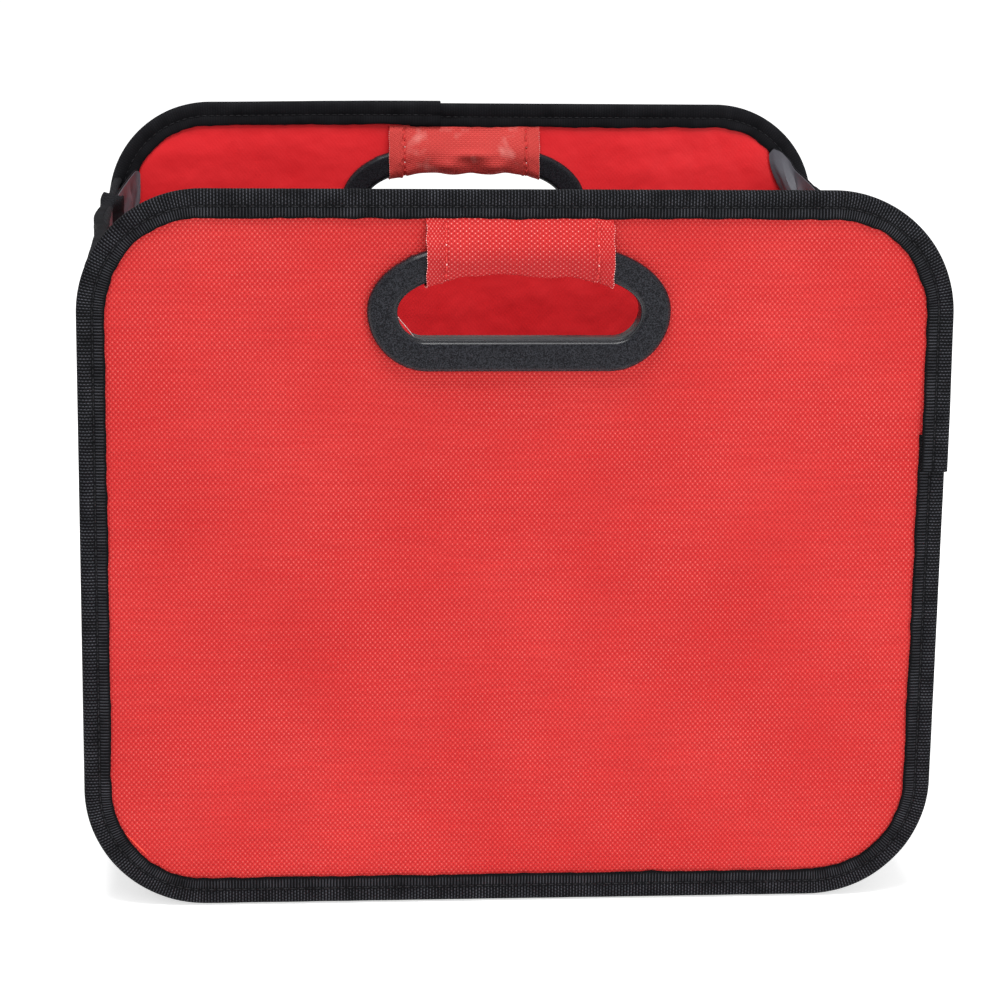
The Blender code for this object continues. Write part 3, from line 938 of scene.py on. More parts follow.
def edge_webbing(end, side, start, finish, seed):
    """The tape of one panel; start is how far along the outline it begins."""
    section, outer_count = webbing_section()
    walk = np.linspace(0, edge.length + OVERLAP, STATIONS)
    spots, inward = edge.at(walk + start)
    inset, depth = (np.repeat(section[None, :, k], STATIONS, 0) for k in (0, 1))
    face = np.sign(depth)
    wander = ripples(walk[:, None] + face * 0.5, face, 0.022, seed) * 0.00022
    wander += ripples(walk[:, None] + face * 0.5, face, 0.006, seed + 1) * 0.00012
    over = ease(walk, edge.length - 0.105, edge.length - 0.012)[:, None]
    lifted = OVERLAP_LIFT * ease(walk, edge.length - 0.03, edge.length)
    swell = ripples(walk[:, None], inset * 3, 0.017, seed + 2) * 0.00007
    inset = inset + ease(inset, 0.0085, WEBBING_FACE) * wander - over * OVERLAP_SHIFT
    depth = depth + face * (swell + over * lifted[:, None])
    flat = spots[:, None] + inward[:, None] * inset[..., None]
    grid = np.stack([flat[..., 0], side * (PANEL_MIDDLE + depth), np.maximum(flat[..., 1], 0.0)], 2)
    uv = tape_places(section, outer_count, walk)
    piece = skin(end + "_edge_webbing", grid, uv=uv, wrap=(False, True))
    dress(piece, finish, end + "_panel", [end + "_binding"])
    seam = spots + inward * (SEAM_INSET - over * OVERLAP_SHIFT)
    lines = []
    for face_side in (1, -1):
        depth_there = side * (PANEL_MIDDLE + face_side * (SEAM_DEPTH + lifted))
        lines.append(np.stack([seam[:, 0], depth_there, seam[:, 1]], 1)[4:-4])
    sew(
        end + "_edge_stitches", lines, STITCH_PITCH, STITCH_LENGTH, 0.00055, black_thread,
        end + "_panel", seed,
    )


RIGHT_SIDE_JOIN = PANEL_HEIGHT - CORNER_RADIUS - 0.169 - OVERLAP
TOP_JOIN = edge.length - math.pi / 2 * CORNER_RADIUS - (PANEL_WIDTH / 2 - CORNER_RADIUS) - 0.025
edge_webbing("front", -1, RIGHT_SIDE_JOIN, webbing, 5)
edge_webbing("rear", 1, TOP_JOIN, smooth_webbing, 8)

# %% [markdown]
# ## The hand-hole rings
#
# Two moulded halves clip together through the panel. Each has a flat sandy face with a chamfer at its
# outer edge, and a chamfer, a groove and a rounded lip at the hole. The section is drawn as shares of
# the band's width, so it fits the band where it is wide and where it is narrow.

# %% Make the rings
# Share of the band's width, and height in millimetres above the cover.
RING_SECTION = (
    (0.000, -1.80), (0.000, 2.55), (0.010, 2.86), (0.032, 3.02), (0.056, 2.96), (0.074, 2.86),
    (0.094, 2.98), (0.120, 3.28), (0.150, 3.54), (0.175, 3.62), (0.300, 3.62), (0.500, 3.62),
    (0.700, 3.62), (0.850, 3.62), (0.872, 3.58), (0.892, 3.44), (0.915, 3.20), (0.940, 2.93),
    (0.962, 2.70), (0.982, 2.40), (0.995, 2.00), (1.000, 1.50),
    (1.000, 0.12), (0.130, 0.12), (0.130, -1.80),
)
NIBS = ((-0.0400, 0.0209), (0.0396, -0.0230))
NIB_SPREAD, NIB_HEIGHT = 0.0011, 0.0006


def ring_half(end, side, half, outward):
    """Half of a ring: the two nibs are small burrs left by the mould at its outer edge."""
    heights = np.array([height for _, height in RING_SECTION]) / 1000
    lines = np.stack([band(share) for share, _ in RING_SECTION], 1)
    centre = band(1.0) - np.array([0, RING_HEIGHT_UP])
    away = centre / np.linalg.norm(centre, axis=1, keepdims=True)
    at_edge = np.array([share >= 0.94 and height > 0 for share, height in RING_SECTION])
    for nib_x, nib_z in NIBS:
        near = np.exp(-(((centre[:, 0] - nib_x) ** 2 + (centre[:, 1] - nib_z) ** 2) / NIB_SPREAD**2))
        lines = lines + (near[:, None] * at_edge[None] * NIB_HEIGHT)[..., None] * away[:, None]
    depth = np.broadcast_to(PANEL_MIDDLE + outward * (STACK_HALF + heights), lines.shape[:2])
    grid = np.stack([lines[..., 0], side * depth, lines[..., 1]], 2)
    piece = skin(f"{end}_{half}_ring", grid, wrap=(True, True))
    dress(piece, charcoal_plastic, end + "_panel", [f"{end}_handle_{half}"])


for end, side in ENDS:
    ring_half(end, side, "outer", 1)
    ring_half(end, side, "inner", -1)
print("rings made")

# %% [markdown]
# The cover was cut a little short of the hole, and at its lower left a sliver of the cut edge looks
# out between the ring and the air, with one pale line of frayed yarn along it.

# %% Make the cut edge
CUT_LEFT_OF, CUT_BELOW = -0.0385, RING_HEIGHT_UP - 0.002

cut_line = np.array([spot for spot in band(0.0) if spot[0] < CUT_LEFT_OF and spot[1] < CUT_BELOW])
bulge = 0.0015 * np.sin(np.linspace(0, np.pi, len(cut_line)))[:, None]
towards = np.array([0.0, RING_HEIGHT_UP]) - cut_line
towards /= np.linalg.norm(towards, axis=1, keepdims=True)
cut_faces = []
for depth in (0.0016, 0.0012):
    rows = (cut_line - 0.0004 * towards, cut_line + (bulge - 0.0002) * towards)
    level = np.full(len(cut_line), -PANEL_MIDDLE - depth)
    cut_faces.append(np.stack([np.stack([row[:, 0], level, row[:, 1]], 1) for row in rows]))
along_cut = np.linspace(0, 0.012, len(cut_line))
cut_places = np.stack(np.broadcast_arrays(along_cut[None], np.array([[0.0], [0.0015]])), 2)
cut_edge = skin("front_cut_cloth_edge", *cut_faces, cut_places)
dress(cut_edge, red_coating, "front_panel")
sew(
    "front_cut_yarn", [cut_faces[0][1] - np.array([0, 0.00015, 0])], 0.0007, 0.0009, 0.00032, pale_thread,
    "front_panel",
)

# %% [markdown]
# At the lower left corner the cover was caught by the webbing with a small tuck, which shows as one
# bright thin fold along the webbing's edge. It is a fine tube along an arc inside the round corner.

# %% Make the tuck
TUCK_RADIUS, TUCK_CLOTH = 0.0352, 0.00032
TUCK_STEPS = 40

tuck_turn = np.radians(np.linspace(209, 238, TUCK_STEPS))[:, None]
tuck_swell = np.sin(np.linspace(0, np.pi, TUCK_STEPS))[:, None]
round_turn = np.linspace(0, TURN, 8, endpoint=False)
tuck_half = TUCK_CLOTH * (0.3 + 0.7 * tuck_swell)
off = TUCK_RADIUS - 0.0011 * tuck_swell + tuck_half * np.cos(round_turn)
tuck = skin("front_cover_tuck", np.stack([
    CORNER_RADIUS - PANEL_WIDTH / 2 + off * np.cos(tuck_turn),
    -(PANEL_MIDDLE + STACK_HALF + tuck_half * (0.4 + np.sin(round_turn))),
    CORNER_RADIUS + off * np.sin(tuck_turn),
], 2), wrap=(False, True))
dress(tuck, fold_cloth, "front_panel")
print("tuck made")

# %% [markdown]
# ## The grip strips
#
# A strip of the red cloth goes from under the webbing, over the ring's top bar, through the hole and
# up the other face. Its way is drawn in profile for each step across the strip, because the bar is
# arched. A few corner points are enough, and cutting their corners three times rounds the path.

# %% Draw the strip's way over the bar
STRIP_HALF, STRIP_CLOTH = 0.0345, 0.0008
STRIP_COLUMNS, STRIP_ROWS = 176, 104
STRIP_TOP = PANEL_HEIGHT - WEBBING_FACE + 0.0004
STRIP_SEAMS = (-0.0275, 0.0286)
BAR_TOP = STACK_HALF + 0.0037
CORNER_CUTS = 3


def arch(x, half_width, rise, reach):
    """The height of an oval's upper edge at a place across it."""
    past = np.maximum(0.0, np.abs(x) - (half_width - reach)) / reach
    return RING_HEIGHT_UP + rise * np.sqrt(1 - past * past)


def smooth_path(points, count):
    """A round path through points of a profile, with an even spacing."""
    points = np.array(points)
    for _ in range(CORNER_CUTS):
        cut = [points[0]]
        for a, b in zip(points[:-1], points[1:]):
            cut += [a * 0.75 + b * 0.25, a * 0.25 + b * 0.75]
        points = np.array(cut + [points[-1]])
    far = distance_along(points)
    even = np.linspace(0, far[-1], count)
    return np.stack([np.interp(even, far, points[:, k]) for k in (0, 1)], 1), even


def strip_profile(across, pulled):
    """The strip's way over the bar at one place across it: depth from the panel's middle, and height.

    A pulled strip is tight at one place left of its middle, and sags on both sides of it.
    """
    rim = arch(across, RIM[0], RIM[1], RIM[3])
    hole = arch(across, HOLE[0], HOLE[1], HOLE[3])
    sag = 0.0009 * (1 - hump(across, -0.009, 0.012)) if pulled else 0.0006 * (1 - (across / STRIP_HALF) ** 2)
    outside = BAR_TOP + 0.0006
    half = [
        (STACK_HALF + 0.00045, STRIP_TOP), (STACK_HALF + 0.0008, STRIP_TOP - 0.0016),
        (STACK_HALF + 0.0024, (STRIP_TOP + rim) / 2), (outside, rim + 0.0002),
        (outside + 0.0007, rim * 0.65 + hole * 0.35), (outside + 0.0002, hole + 0.0024),
        (outside - 0.0006, hole + 0.0006), (outside - 0.0016, hole - 0.0005 - sag),
        (0.0034, hole - 0.0007 - sag),
    ]
    return half + [(0.0, hole - 0.0008 - sag)] + [(-depth, height) for depth, height in reversed(half)]


print("bar's front face:", round(BAR_TOP * 1000, 2), "mm from the panel's middle")

# %% [markdown]
# The strip's sides are turned in and sewn, so two lines are pulled in near its edges. Then the cloth
# gets dents, and small waves where it bunches at the bottom fold. A dent is given by its place, its
# size and its depth, and one with a depth below zero stands out. Its raw sides carry a fine pale fray.

# %% Make the grip strips
FOLD_HEIGHT = RING_HEIGHT_UP + 0.024
HEM_FROM = 0.0275
DEEPEST = 0.00055


def strip_lift(across, height, run, shown, dents, seed):
    """How far the cloth stands off its way over the bar; dents only count where it is shown."""
    below = ease(FOLD_HEIGHT - height, 0.0, 0.010)
    lift = ripples(across, run, 0.009, seed) * below * 0.00022
    lift = lift + ripples(across, run, 0.02, seed + 1) * 0.00025
    rough = ripples(across * 0, run, 0.004, seed + 2)
    for place in STRIP_SEAMS:
        lift = lift - (0.00085 + 0.00030 * rough) * hump(across + 0.0003 * rough, place, 0.00075)
        lift = lift + 0.00045 * hump(across + 0.0003 * rough, place - 0.0012, 0.0006)
    for dent_x, dent_z, wide, tall, deep in dents:
        lift = lift - deep * hump(across, dent_x, wide) * hump(height, dent_z, tall) * shown
    return np.maximum(lift, -DEEPEST) * ease(STRIP_TOP - height, 0.0, 0.003)


def grip_strip(end, side, dents, finish, seed):
    """dents are (x, height, width, tall, depth) on the face that the picture shows."""
    x = np.linspace(-STRIP_HALF, STRIP_HALF, STRIP_COLUMNS)
    ways = [smooth_path(strip_profile(across, end == "front"), STRIP_ROWS) for across in x]
    run = np.stack([even for _, even in ways], 1)
    across = np.broadcast_to(x[None], run.shape)
    depth, height = (np.stack([path[:, k] for path, _ in ways], 1) for k in (0, 1))
    grid = np.stack([across, depth, height], 2)
    normal = normals_of(grid)
    if normal[2, 2, 1] < 0:
        normal = -normal
    lift = strip_lift(across, height, run, ease(-side * depth, 0.001, 0.003), dents, seed)
    sway = 0.00022 * ripples(height, run, 0.012, seed + 4) * ease(np.abs(across), 0.02, 0.034)
    front = grid + normal * (STRIP_CLOTH / 2 + lift)[..., None]
    back = grid - normal * (STRIP_CLOTH / 2 - lift)[..., None]
    for layer in (front, back):
        layer[..., 1] = side * (PANEL_MIDDLE + layer[..., 1])
        layer[..., 0] += sway
    hem = np.maximum(0, np.abs(across) - HEM_FROM) * np.sign(across)
    body = end + "_panel"
    piece = skin(end + "_grip_strip", front, back, np.stack([across + hem * 0.55, run], 2))
    dress(piece, finish, body, [end + "_grip_wrap"])
    seams = [front[5:-5, int(np.argmin(np.abs(x - place)))] for place in STRIP_SEAMS]
    edges = [front[5:-5, 0], front[5:-5, -1]]
    sew(end + "_grip_stitches", seams, STITCH_PITCH, 0.0030, 0.00085, red_thread, body, seed)
    sew(end + "_grip_lint", seams, 0.0067, 0.0009, 0.00060, pale_thread, body, seed)
    sew(end + "_grip_fray", edges, 0.00093, 0.00055, 0.00028, fray_thread, body, seed)


grip_strip("front", -1, [(-0.009, 0.2462, 0.010, 0.0030, 0.0006)], strip_weave, 21)
grip_strip(
    "rear", 1, [
        (0.0035, 0.2472, 0.0040, 0.0030, 0.0005), (-0.0065, 0.2470, 0.0055, 0.0035, -0.0016),
        (0.0135, 0.2472, 0.0055, 0.0035, -0.0014), (0.0035, 0.2520, 0.0100, 0.0020, -0.0012),
    ],
    worn_strip_weave, 27,
)

# %% [markdown]
# ## The side walls
#
# Each side is one length of black cloth with a grey coated lining and a thin board in each half. It is
# sewn to the panels, and it folds inward at its middle. Each half is made as an outer and an inner
# sheet that reach from the panel's seam to the crease.

# %% Define the wall sheets
WALL_PLANE, WALL_HINGE, PANEL_SEAM = 0.1615, 0.1383, 0.1432
WALL_TOP, WALL_LOW, DIAGONAL_RISE = 0.240, 0.0448, 0.015
WALL_OUTER, WALL_INNER = 0.0011, 0.0037
WALL_CLOTH = 0.0004
CREASE = 0.00002
BEND_STARTS, BEND_ENDS, BEND_HEIGHT = 0.0006, 0.0036, 0.15
WALL_COLUMNS, WALL_ROWS = 90, 70
CURL = ((0.0003, 0.0007), (0.0010, 0.0011), (0.0020, 0.0012), (0.0030, 0.0010), (0.0036, 0.0002))
REAR_TAPE_START = 0.068


def bend_at_panel(piece, end, flank, side, hinge, height):
    """Bakes the sheet's placement into its mesh."""
    end + "_panel"
    flank * WALL_PLANE
    side * (PANEL_SEAM - BEND_STARTS)
    flank * WALL_PLANE
    side * (hinge - BEND_ENDS)
    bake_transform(piece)


def wall_grid():
    """Distances from the hinge and heights of a half, whose lower edge rises along the diagonal."""
    reach = WALL_HINGE - CREASE
    lead = np.linspace(WALL_HINGE - PANEL_SEAM, 0.0, 10)[:-1]
    s = np.concatenate([lead, reach * np.linspace(0, 1, WALL_COLUMNS - 9) ** 0.92])
    s[-1] = reach
    low = np.maximum(WALL_LOW, s + DIAGONAL_RISE)
    share = np.linspace(0, 1, WALL_ROWS)[:, None]
    z = low[None] * (1 - share) + (WALL_TOP - 0.0014) * share
    return np.broadcast_to(s[None], z.shape), z


def over_the_top(s, z, inward, bare):
    """Adds rows to the outer cloth that carry it over the top of the board; bare is where no tape is."""
    rows = [(s, z, inward)]
    last = [layer[-1:] for layer in (s, z, inward)]
    for across, height in CURL:
        rows.append((last[0], last[1] + height + 0.0008 * bare, last[2] + across))
    return [np.concatenate([row[k] for row in rows]) for k in range(3)]


def wall_sheet(quarter, kind, depth, shape, finish):
    """shape gives how far the sheet stands off its depth, inward, for the distances and heights."""
    hand, end, flank, side, seed = quarter
    s, z = wall_grid()
    inward = depth + WALL_CLOTH / 2 + shape(s, z, seed)
    body = f"{hand}_{end}_wall"
    if kind == "cloth":
        bare = (end == "rear") * (1 - ease(s[-1:], REAR_TAPE_START, REAR_TAPE_START + 0.004))
        s, z, inward = over_the_top(s, z, inward, bare)
    middle = np.stack([flank * (WALL_PLANE - inward), side * (WALL_HINGE - s), z], 2)
    normal = normals_of(middle) * WALL_CLOTH / 2
    rise = distance_along(middle[:, 20])
    places = np.stack([s, z[:1] + rise[:, None]], 2)
    piece = skin(f"{hand}_{end}_side_{kind}", middle + normal, middle - normal, places)
    dress(piece, finish, replaces=[f"{body}_{kind}"])
    bend_at_panel(piece, end, flank, side, WALL_HINGE, BEND_HEIGHT)


print("wall sheets from", WALL_LOW, "to", WALL_TOP, "m")

# %% [markdown]
# Between its seams each sheet stands a little off its board in low waves, the cloth outward and the
# lining inward. The cloth is drawn in along two fine lines, by the hinge and beside the crease, and at
# the crease both move outward. Each shape is a function of the distance from the hinge and the height.

# %% Make the side walls
def outer_shape(s, z, seed):
    at_crease = ease(s, WALL_HINGE - 0.007, WALL_HINGE)
    lines = hump(s, WALL_HINGE - 0.0095, 0.0012) + hump(s, 0.0022, 0.0012)
    free = ease(s, 0.004, 0.02) * ease(WALL_HINGE - s, 0.008, 0.02)
    waves = slack_cloth(s, z, 0.05, 0.021, seed)
    return -at_crease * WALL_OUTER + lines * 0.00012 - free * (0.00045 + 0.0004 * waves)


def inner_shape(s, z, seed):
    at_crease = ease(s, WALL_HINGE - 0.006, WALL_HINGE)
    free = ease(s, 0.003, 0.018) * ease(WALL_HINGE - s, 0.006, 0.018) * ease(WALL_TOP - z, 0.008, 0.02)
    return -at_crease * 0.0010 + free * (0.0006 + 0.0006 * slack_cloth(s, z, 0.045, 0.019, seed + 3))


for quarter in quarters(40, 7):
    wall_sheet(quarter, "cloth", WALL_OUTER, outer_shape, black_cloth)
    wall_sheet(quarter, "lining", WALL_INNER, inner_shape, grey_coating)
    in_card("{}_{}_wall_board".format(*quarter))
print("side walls made")

# %% [markdown]
# ## The webbing on the side walls
#
# The same kind of tape is folded over the top edge of each wall and sewn. On the real box it is one
# piece across the crease. Here each half carries its own, and they meet in the fold.

# %% Make the wall webbing
WALL_TAPE_CLOTH, WALL_TAPE_ACROSS = 0.0008, 0.0052
TAPE_BOW = 0.0026
TAPE_SEAM_DROP, TAPE_SEAM_SUNK = 0.0044, 0.00012
TAPE_STATIONS = 120


def wall_tape_section():
    """The folded tape's section, drawn in millimetres: depth inward, and height from the wall's top."""
    outer = [
        (0.35, -9.0), (0.08, -8.7), (0.02, -7.5), (0.06, -5.2), (0.22, -4.3), (0.05, -3.4), (0.02, -2.0),
        (0.05, -1.0), (0.5, -0.35), (1.3, -0.02), (2.6, 0.05),
    ]
    across = WALL_TAPE_ACROSS * 1000
    outer += [(across - d, z) for d, z in reversed(outer[:-1])]
    cloth = WALL_TAPE_CLOTH * 1000
    inner = [(across - cloth, -8.9), (across - cloth, -1.2), (cloth, -1.2), (cloth, -8.9)]
    return np.array(outer + inner) / 1000, len(outer)


def tape_bow(s, first):
    """How far the rear tape bows outward between its loose end and the crease."""
    return np.sin(np.pi * (s - first) / (WALL_HINGE - first)) * ease(WALL_HINGE - s, 0.0, 0.012)


def wall_tape(hand, end, flank, side, seed):
    section, outer_count = wall_tape_section()
    first = REAR_TAPE_START if end == "rear" else WALL_HINGE - PANEL_SEAM
    s = np.linspace(first, WALL_HINGE - CREASE, TAPE_STATIONS)
    depth, height = (np.repeat(section[None, :, k], len(s), 0) for k in (0, 1))
    along = np.broadcast_to(s[:, None], depth.shape)
    height = height + ease(-height, 0.007, 0.009) * ripples(along, depth * 9, 0.012, seed) * 0.0002
    height = height + ripples(along, 0 * depth, 0.07, seed + 1) * 0.0004
    wander = 0.00003 + ripples(along, height * 2, 0.03, seed + 2) * 0.00012
    depth = depth + wander * ease(WALL_HINGE - along, 0.0, 0.012)
    if end == "rear":
        stray = 1 - ease(along, first, first + 0.014)
        inner_leaf = ease(depth, 0.001, 0.0042)
        bow = tape_bow(along, first) + 0.5 * stray
        depth = depth + stray * inner_leaf * 0.0048 - bow * TAPE_BOW
        tips = 1 - np.abs(np.sin(np.pi * depth / 0.0047))
        height = height + stray * (0.0022 + 0.0018 * tips) * ease(height, -0.006, 0.0)
        along = along - stray * tips * 0.0010
    grid = np.stack([flank * (WALL_PLANE - depth), side * (WALL_HINGE - along), WALL_TOP + height], 2)
    body = f"{hand}_{end}_wall"
    uv = tape_places(section, outer_count, s)
    piece = skin(f"{hand}_{end}_top_webbing", grid, uv=uv, wrap=(False, True))
    dress(piece, side_webbing, replaces=[body + "_top_binding"])
    if end == "rear":
        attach(piece, body)
    else:
        bend_at_panel(piece, end, flank, side, WALL_HINGE, BEND_HEIGHT)
    sewn = s[16:-3]
    bow = tape_bow(sewn, first) * (TAPE_BOW if end == "rear" else 0)
    level = np.full(len(sewn), WALL_TOP - TAPE_SEAM_DROP)
    lines = []
    for sunk in (TAPE_SEAM_SUNK, WALL_TAPE_ACROSS - TAPE_SEAM_SUNK):
        lines.append(np.stack([flank * (WALL_PLANE - sunk + bow), side * (WALL_HINGE - sewn), level], 1))
    sew(
        f"{hand}_{end}_top_stitches", lines, STITCH_PITCH, STITCH_LENGTH, 0.0005, black_thread,
        body, seed,
    )


for quarter in quarters(90, 5):
    wall_tape(*quarter)

# %% [markdown]
# ## The loose corners beside the rear panel
#
# The tape stops short of the rear panel. From there on the bare cloth is gathered: it leaves the side,
# swings in to the inner edge of the panel's webbing, and stands up beside it in a lobe. Each corner is
# a grey layer and a black one behind it, drawn from a few measured points of its top edge.

# %% Make the loose corners
LOBE_LOW = 0.192
# Points of each top edge in millimetres: inward from the side, toward the rear, and height.
LOBES = {
    "left": (
        (13.4, 142.8, 242.6), (12.6, 142.2, 243.8), (11.6, 141.0, 244.0), (10.6, 136.0, 243.2),
        (9.3, 128.0, 242.3), (8.1, 118.0, 241.5), (6.9, 106.0, 240.8), (5.9, 92.0, 240.3),
        (5.0, 76.0, 240.0), (4.6, 60.0, 239.6),
    ),
    "right": (
        (19.9, 142.7, 252.8), (18.2, 141.7, 255.3), (14.4, 141.0, 253.9), (10.9, 140.6, 250.4),
        (8.4, 138.0, 245.6), (6.4, 130.0, 243.8), (5.4, 116.0, 242.4), (4.9, 100.0, 240.8),
        (4.7, 80.0, 240.2), (4.6, 60.0, 239.6),
    ),
}
LOBE_CLOTH, LOBE_LAYER = 0.0004, 0.00045
LOBE_SMOOTHINGS, LOBE_SEED = 6, 60
BEHIND_PANEL = 0.1434
LOBE_RISE = {"left": (0.0, 0.85), "right": (0.35, 1.0)}


def loose_corner(hand, flank, layer, finish, slot):
    """layer is how far outward of the measured line this sheet lies."""
    points = np.array(LOBES[hand]) / 1000
    share = np.linspace(0, 1, 90)
    stations = np.linspace(0, 1, len(points))
    line = np.stack([np.interp(share, stations, points[:, k]) for k in range(3)], 1)
    for _ in range(LOBE_SMOOTHINGS):
        line[1:-1] = (line[:-2] + 2 * line[1:-1] + line[2:]) / 4
    up = np.linspace(0, 1, 44)[:, None]
    rise = ease(up, *LOBE_RISE[hand])
    z = LOBE_LOW * (1 - up) + line[None, :, 2] * up
    low_y = 0.1422 * (1 - share) + line[-1, 1] * share
    inward = 0.0046 * (1 - rise) + line[None, :, 0] * rise
    y = low_y[None] * (1 - rise) + line[None, :, 1] * rise
    fall = ripples(share[None] * 0.08, z * 0.35, 0.015, LOBE_SEED) * 0.0010 * rise
    fall = fall * (1 - ease(up, 0.80, 0.97))
    grid = np.stack([flank * (WALL_PLANE - inward - fall * ease(share, 0, 0.1)[None]), y, z], 2)
    normal = normals_of(grid)
    if normal[20, 60, 0] * flank > 0:
        normal = -normal
    edge_up = np.array([0, 0, 0.0006]) * (layer > 0) * up[..., None]
    outer = grid - normal * (layer + LOBE_CLOTH) + edge_up
    inner = grid - normal * layer + edge_up
    for sheet in (outer, inner):
        sheet[..., 1] = np.minimum(sheet[..., 1], BEHIND_PANEL)
    run = distance_along(line[:, :2])
    uv = np.stack(np.broadcast_arrays(run[None], z), 2)
    piece = skin(f"{hand}_rear_loose_{slot.split('_')[0]}", inner, outer, uv)
    dress(piece, finish)
    bend_at_panel(piece, "rear", flank, 1, WALL_HINGE, BEND_HEIGHT)


for hand, flank in HANDS:
    loose_corner(hand, flank, 0.0, grey_coating, "grey_coating")
    loose_corner(hand, flank, LOBE_LAYER, black_cloth, "black_cloth")
print("loose corners made")

# %% [markdown]
# ## The base
#
# Two board leaves between black cloth below and grey lining above. The cloth crosses both hinges to
# the panels. At the middle crease it comes together from both sides.

# %% Make the base sheets
BASE_HINGE, BASE_HALF = 0.1353, 0.1150
BASE_COLUMNS, BASE_ROWS = 90, 64
LINING_LEVEL, LINING_CLOTH, UNDERSIDE_CLOTH = 0.00262, 0.0003, 0.0004
CREASE_DIP = 0.0008


def base_sheet(end, side, name, node, level, thickness, slack, seed, finish):
    """One sheet of a base leaf; slack is the height of its waves, and only a slack one dips at the crease."""
    lead = np.linspace(PANEL_SEAM, BASE_HINGE, 9)[:-1]
    y = np.concatenate([lead, BASE_HINGE * (1 - np.linspace(0, 1, BASE_ROWS - 8) ** 0.95)])
    y[-1] = CREASE
    x = np.linspace(-BASE_HALF, BASE_HALF, BASE_COLUMNS)
    y, x = np.broadcast_arrays(y[:, None], x[None])
    free = ease(BASE_HINGE - y, 0.004, 0.02) * ease(y, 0.004, 0.02)
    free = free * ease(BASE_HALF - np.abs(x), 0.002, 0.02)
    z = level + slack * free * (0.5 + 0.5 * slack_cloth(x, y, 0.06, 0.024, seed))
    if slack:
        z = z - CREASE_DIP * ease(0.005 - y, 0.0, 0.005)
    grid = np.stack([x, side * y, z], 2)
    above = grid + np.array([0, 0, thickness])
    piece = skin(f"base_{end}_{name}", above, grid, np.stack([x, y], 2))
    dress(piece, finish, replaces=[f"base_{end}_{node}"])
    bend_at_panel(piece, end, 0, side, BASE_HINGE, 0)


for (end, side), seed in zip(ENDS, (136, 142)):
    base_sheet(
        end, side, "underside", "cloth", 0.0, UNDERSIDE_CLOTH, 0.0, seed, black_cloth,
    )
    base_sheet(
        end, side, "floor_lining", "lining", LINING_LEVEL, LINING_CLOTH, 0.0007, seed + 2, grey_coating,
    )
    in_card(f"base_{end}_board")
print("base made")

# %% [markdown]
# ## The soft corners
#
# Between base and wall the cloth has no board. It follows the panel's round corner and rises to the
# wall's diagonal fold. First comes its way round the corner, as points with the direction inward at
# each, so that a sheet can stand off it by any depth.

# %% Draw the soft corner's way round
CORNER_CLOTH, CORNER_COATING, COATING_GAP = 0.0009, 0.00022, 0.00004
BODY_HALF, BODY_LEVEL = 0.1604, 0.0003
CORNER_INNER_RADIUS = 0.0439
SEWN_IN = 0.0008
CORNER_COLUMNS = 60


def corner_profile():
    """The cloth's way round: along the base, round the corner and up the side, as points and normals."""
    r = CORNER_INNER_RADIUS
    across = BODY_HALF - r
    flat = [((x, BODY_LEVEL), (0, 1)) for x in np.linspace(BASE_HALF + 0.0002, across, 3)[:-1]]
    turn = []
    for angle in np.linspace(0, math.pi / 2, 22):
        inward = (-math.sin(angle), math.cos(angle))
        turn.append(((across - r * inward[0], BODY_LEVEL + r * (1 - inward[1])), inward))
    top = WALL_HINGE + DIAGONAL_RISE - 0.0002
    rise = [((BODY_HALF, z), (-1, 0)) for z in np.linspace(WALL_LOW, top, 44)[1:]]
    spots, inward = zip(*(flat + turn + rise))
    return np.array(spots), np.array(inward)


print("points round a soft corner:", len(corner_profile()[0]))

# %% [markdown]
# Each soft corner is a sheet over that way, with shallow hollows that die out at its seams, and its
# grey coating lies on it as a second, thin one. Both start in the panel's seam or at the diagonal and
# end at the crease.

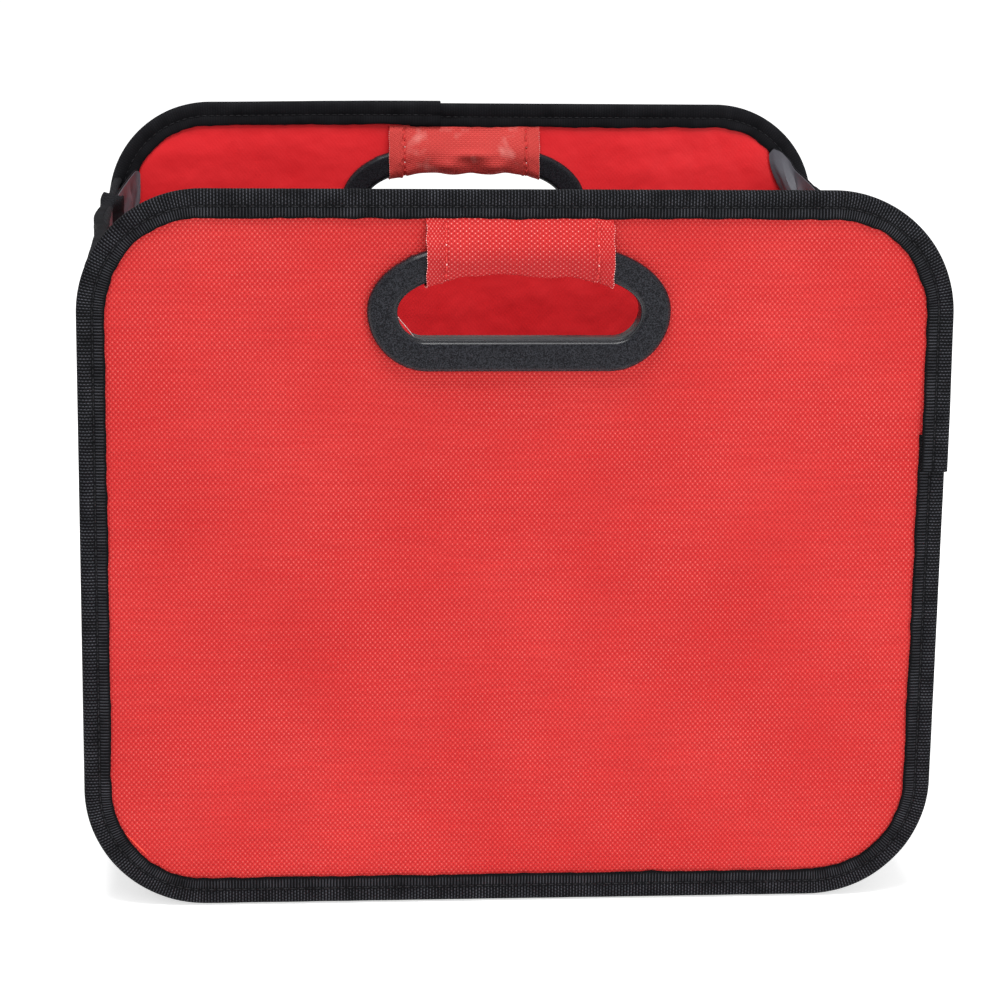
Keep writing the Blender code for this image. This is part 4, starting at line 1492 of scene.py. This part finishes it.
# %% Make the soft corners
def corner_depth(r, y, z, start, seed):
    """How far inward the cloth lies: tucked in at the diagonal, wavy between, raised at the crease."""
    from_diagonal = (start - y) / math.sqrt(2)
    tuck = 0.0006 * (1 - ease(from_diagonal, 0.0004, 0.0016)) * ease(z, 0.036, 0.052)
    free = ease(from_diagonal, 0.003, 0.02) * ease(y, 0.003, 0.02) * ease(r, 0.004, 0.02)
    hollow = ripples(r, y, 0.042, seed) * 0.0009 + ripples(r, y, 0.018, seed + 1) * 0.0004
    depth = tuck + free * (0.0007 + hollow) + 0.0012 * hump(y, 0, 0.0035)
    return depth * ease(r, 0.006, 0.02)


def soft_corner(hand, end, flank, side, seed):
    spots, inward = corner_profile()
    run = distance_along(spots)
    share = np.linspace(0, 1, CORNER_COLUMNS)[None]
    z = spots[:, 1:2]
    sewn_in = PANEL_SEAM + SEWN_IN
    start = np.where(z <= WALL_LOW + 0.003, sewn_in, WALL_HINGE - (z - DIAGONAL_RISE) + 0.0013)
    start = np.minimum(start, sewn_in)
    y = start * (1 - share)
    r = np.broadcast_to(run[:, None], y.shape)
    depth = corner_depth(r, y, z, start, seed)

    def placed(extra):
        x_there, z_there = (spots[:, k, None] + inward[:, k, None] * (depth + extra) for k in (0, 1))
        return np.stack([flank * x_there, side * y, z_there], 2)

    places = np.stack([r, y], 2)
    piece = skin(f"{hand}_{end}_soft_corner", placed(0), placed(CORNER_CLOTH), places)
    dress(piece, black_cloth, end + "_panel", [f"{hand}_{end}_gusset"])
    under = CORNER_CLOTH + COATING_GAP
    coating = skin(f"{hand}_{end}_corner_lining", placed(under), placed(under + CORNER_COATING), places)
    dress(coating, grey_coating, end + "_panel")
    for sheet, below in ((piece, f"{hand}_{end}_side_cloth"), (coating, piece.name)):
        side * PANEL_SEAM
        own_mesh(sheet)
        round(one_side(sheet), 4)


for quarter in quarters(160, 9):
    soft_corner(*quarter)
print("soft corners made")

# %% [markdown]
# ## Floor
#
# The floor is a plain pale sheet under the box. The last cell makes it and prints its size.

# %% Make the floor
FLOOR_LEVEL = -0.0004

half = FLOOR_SIZE / 2
floor_corners = [(x * half, y * half, FLOOR_LEVEL) for x, y in ((-1, -1), (1, -1), (1, 1), (-1, 1))]
floor_mesh = bpy.data.meshes.new("studio_floor")
floor_mesh.from_pydata(floor_corners, [], [(0, 1, 2, 3)])
floor_mesh.materials.append(floor_finish.material)
studio_floor = bpy.data.objects.new("studio_floor", floor_mesh)
bpy.context.scene.collection.objects.link(studio_floor)
print("floor:", FLOOR_SIZE, "m square")
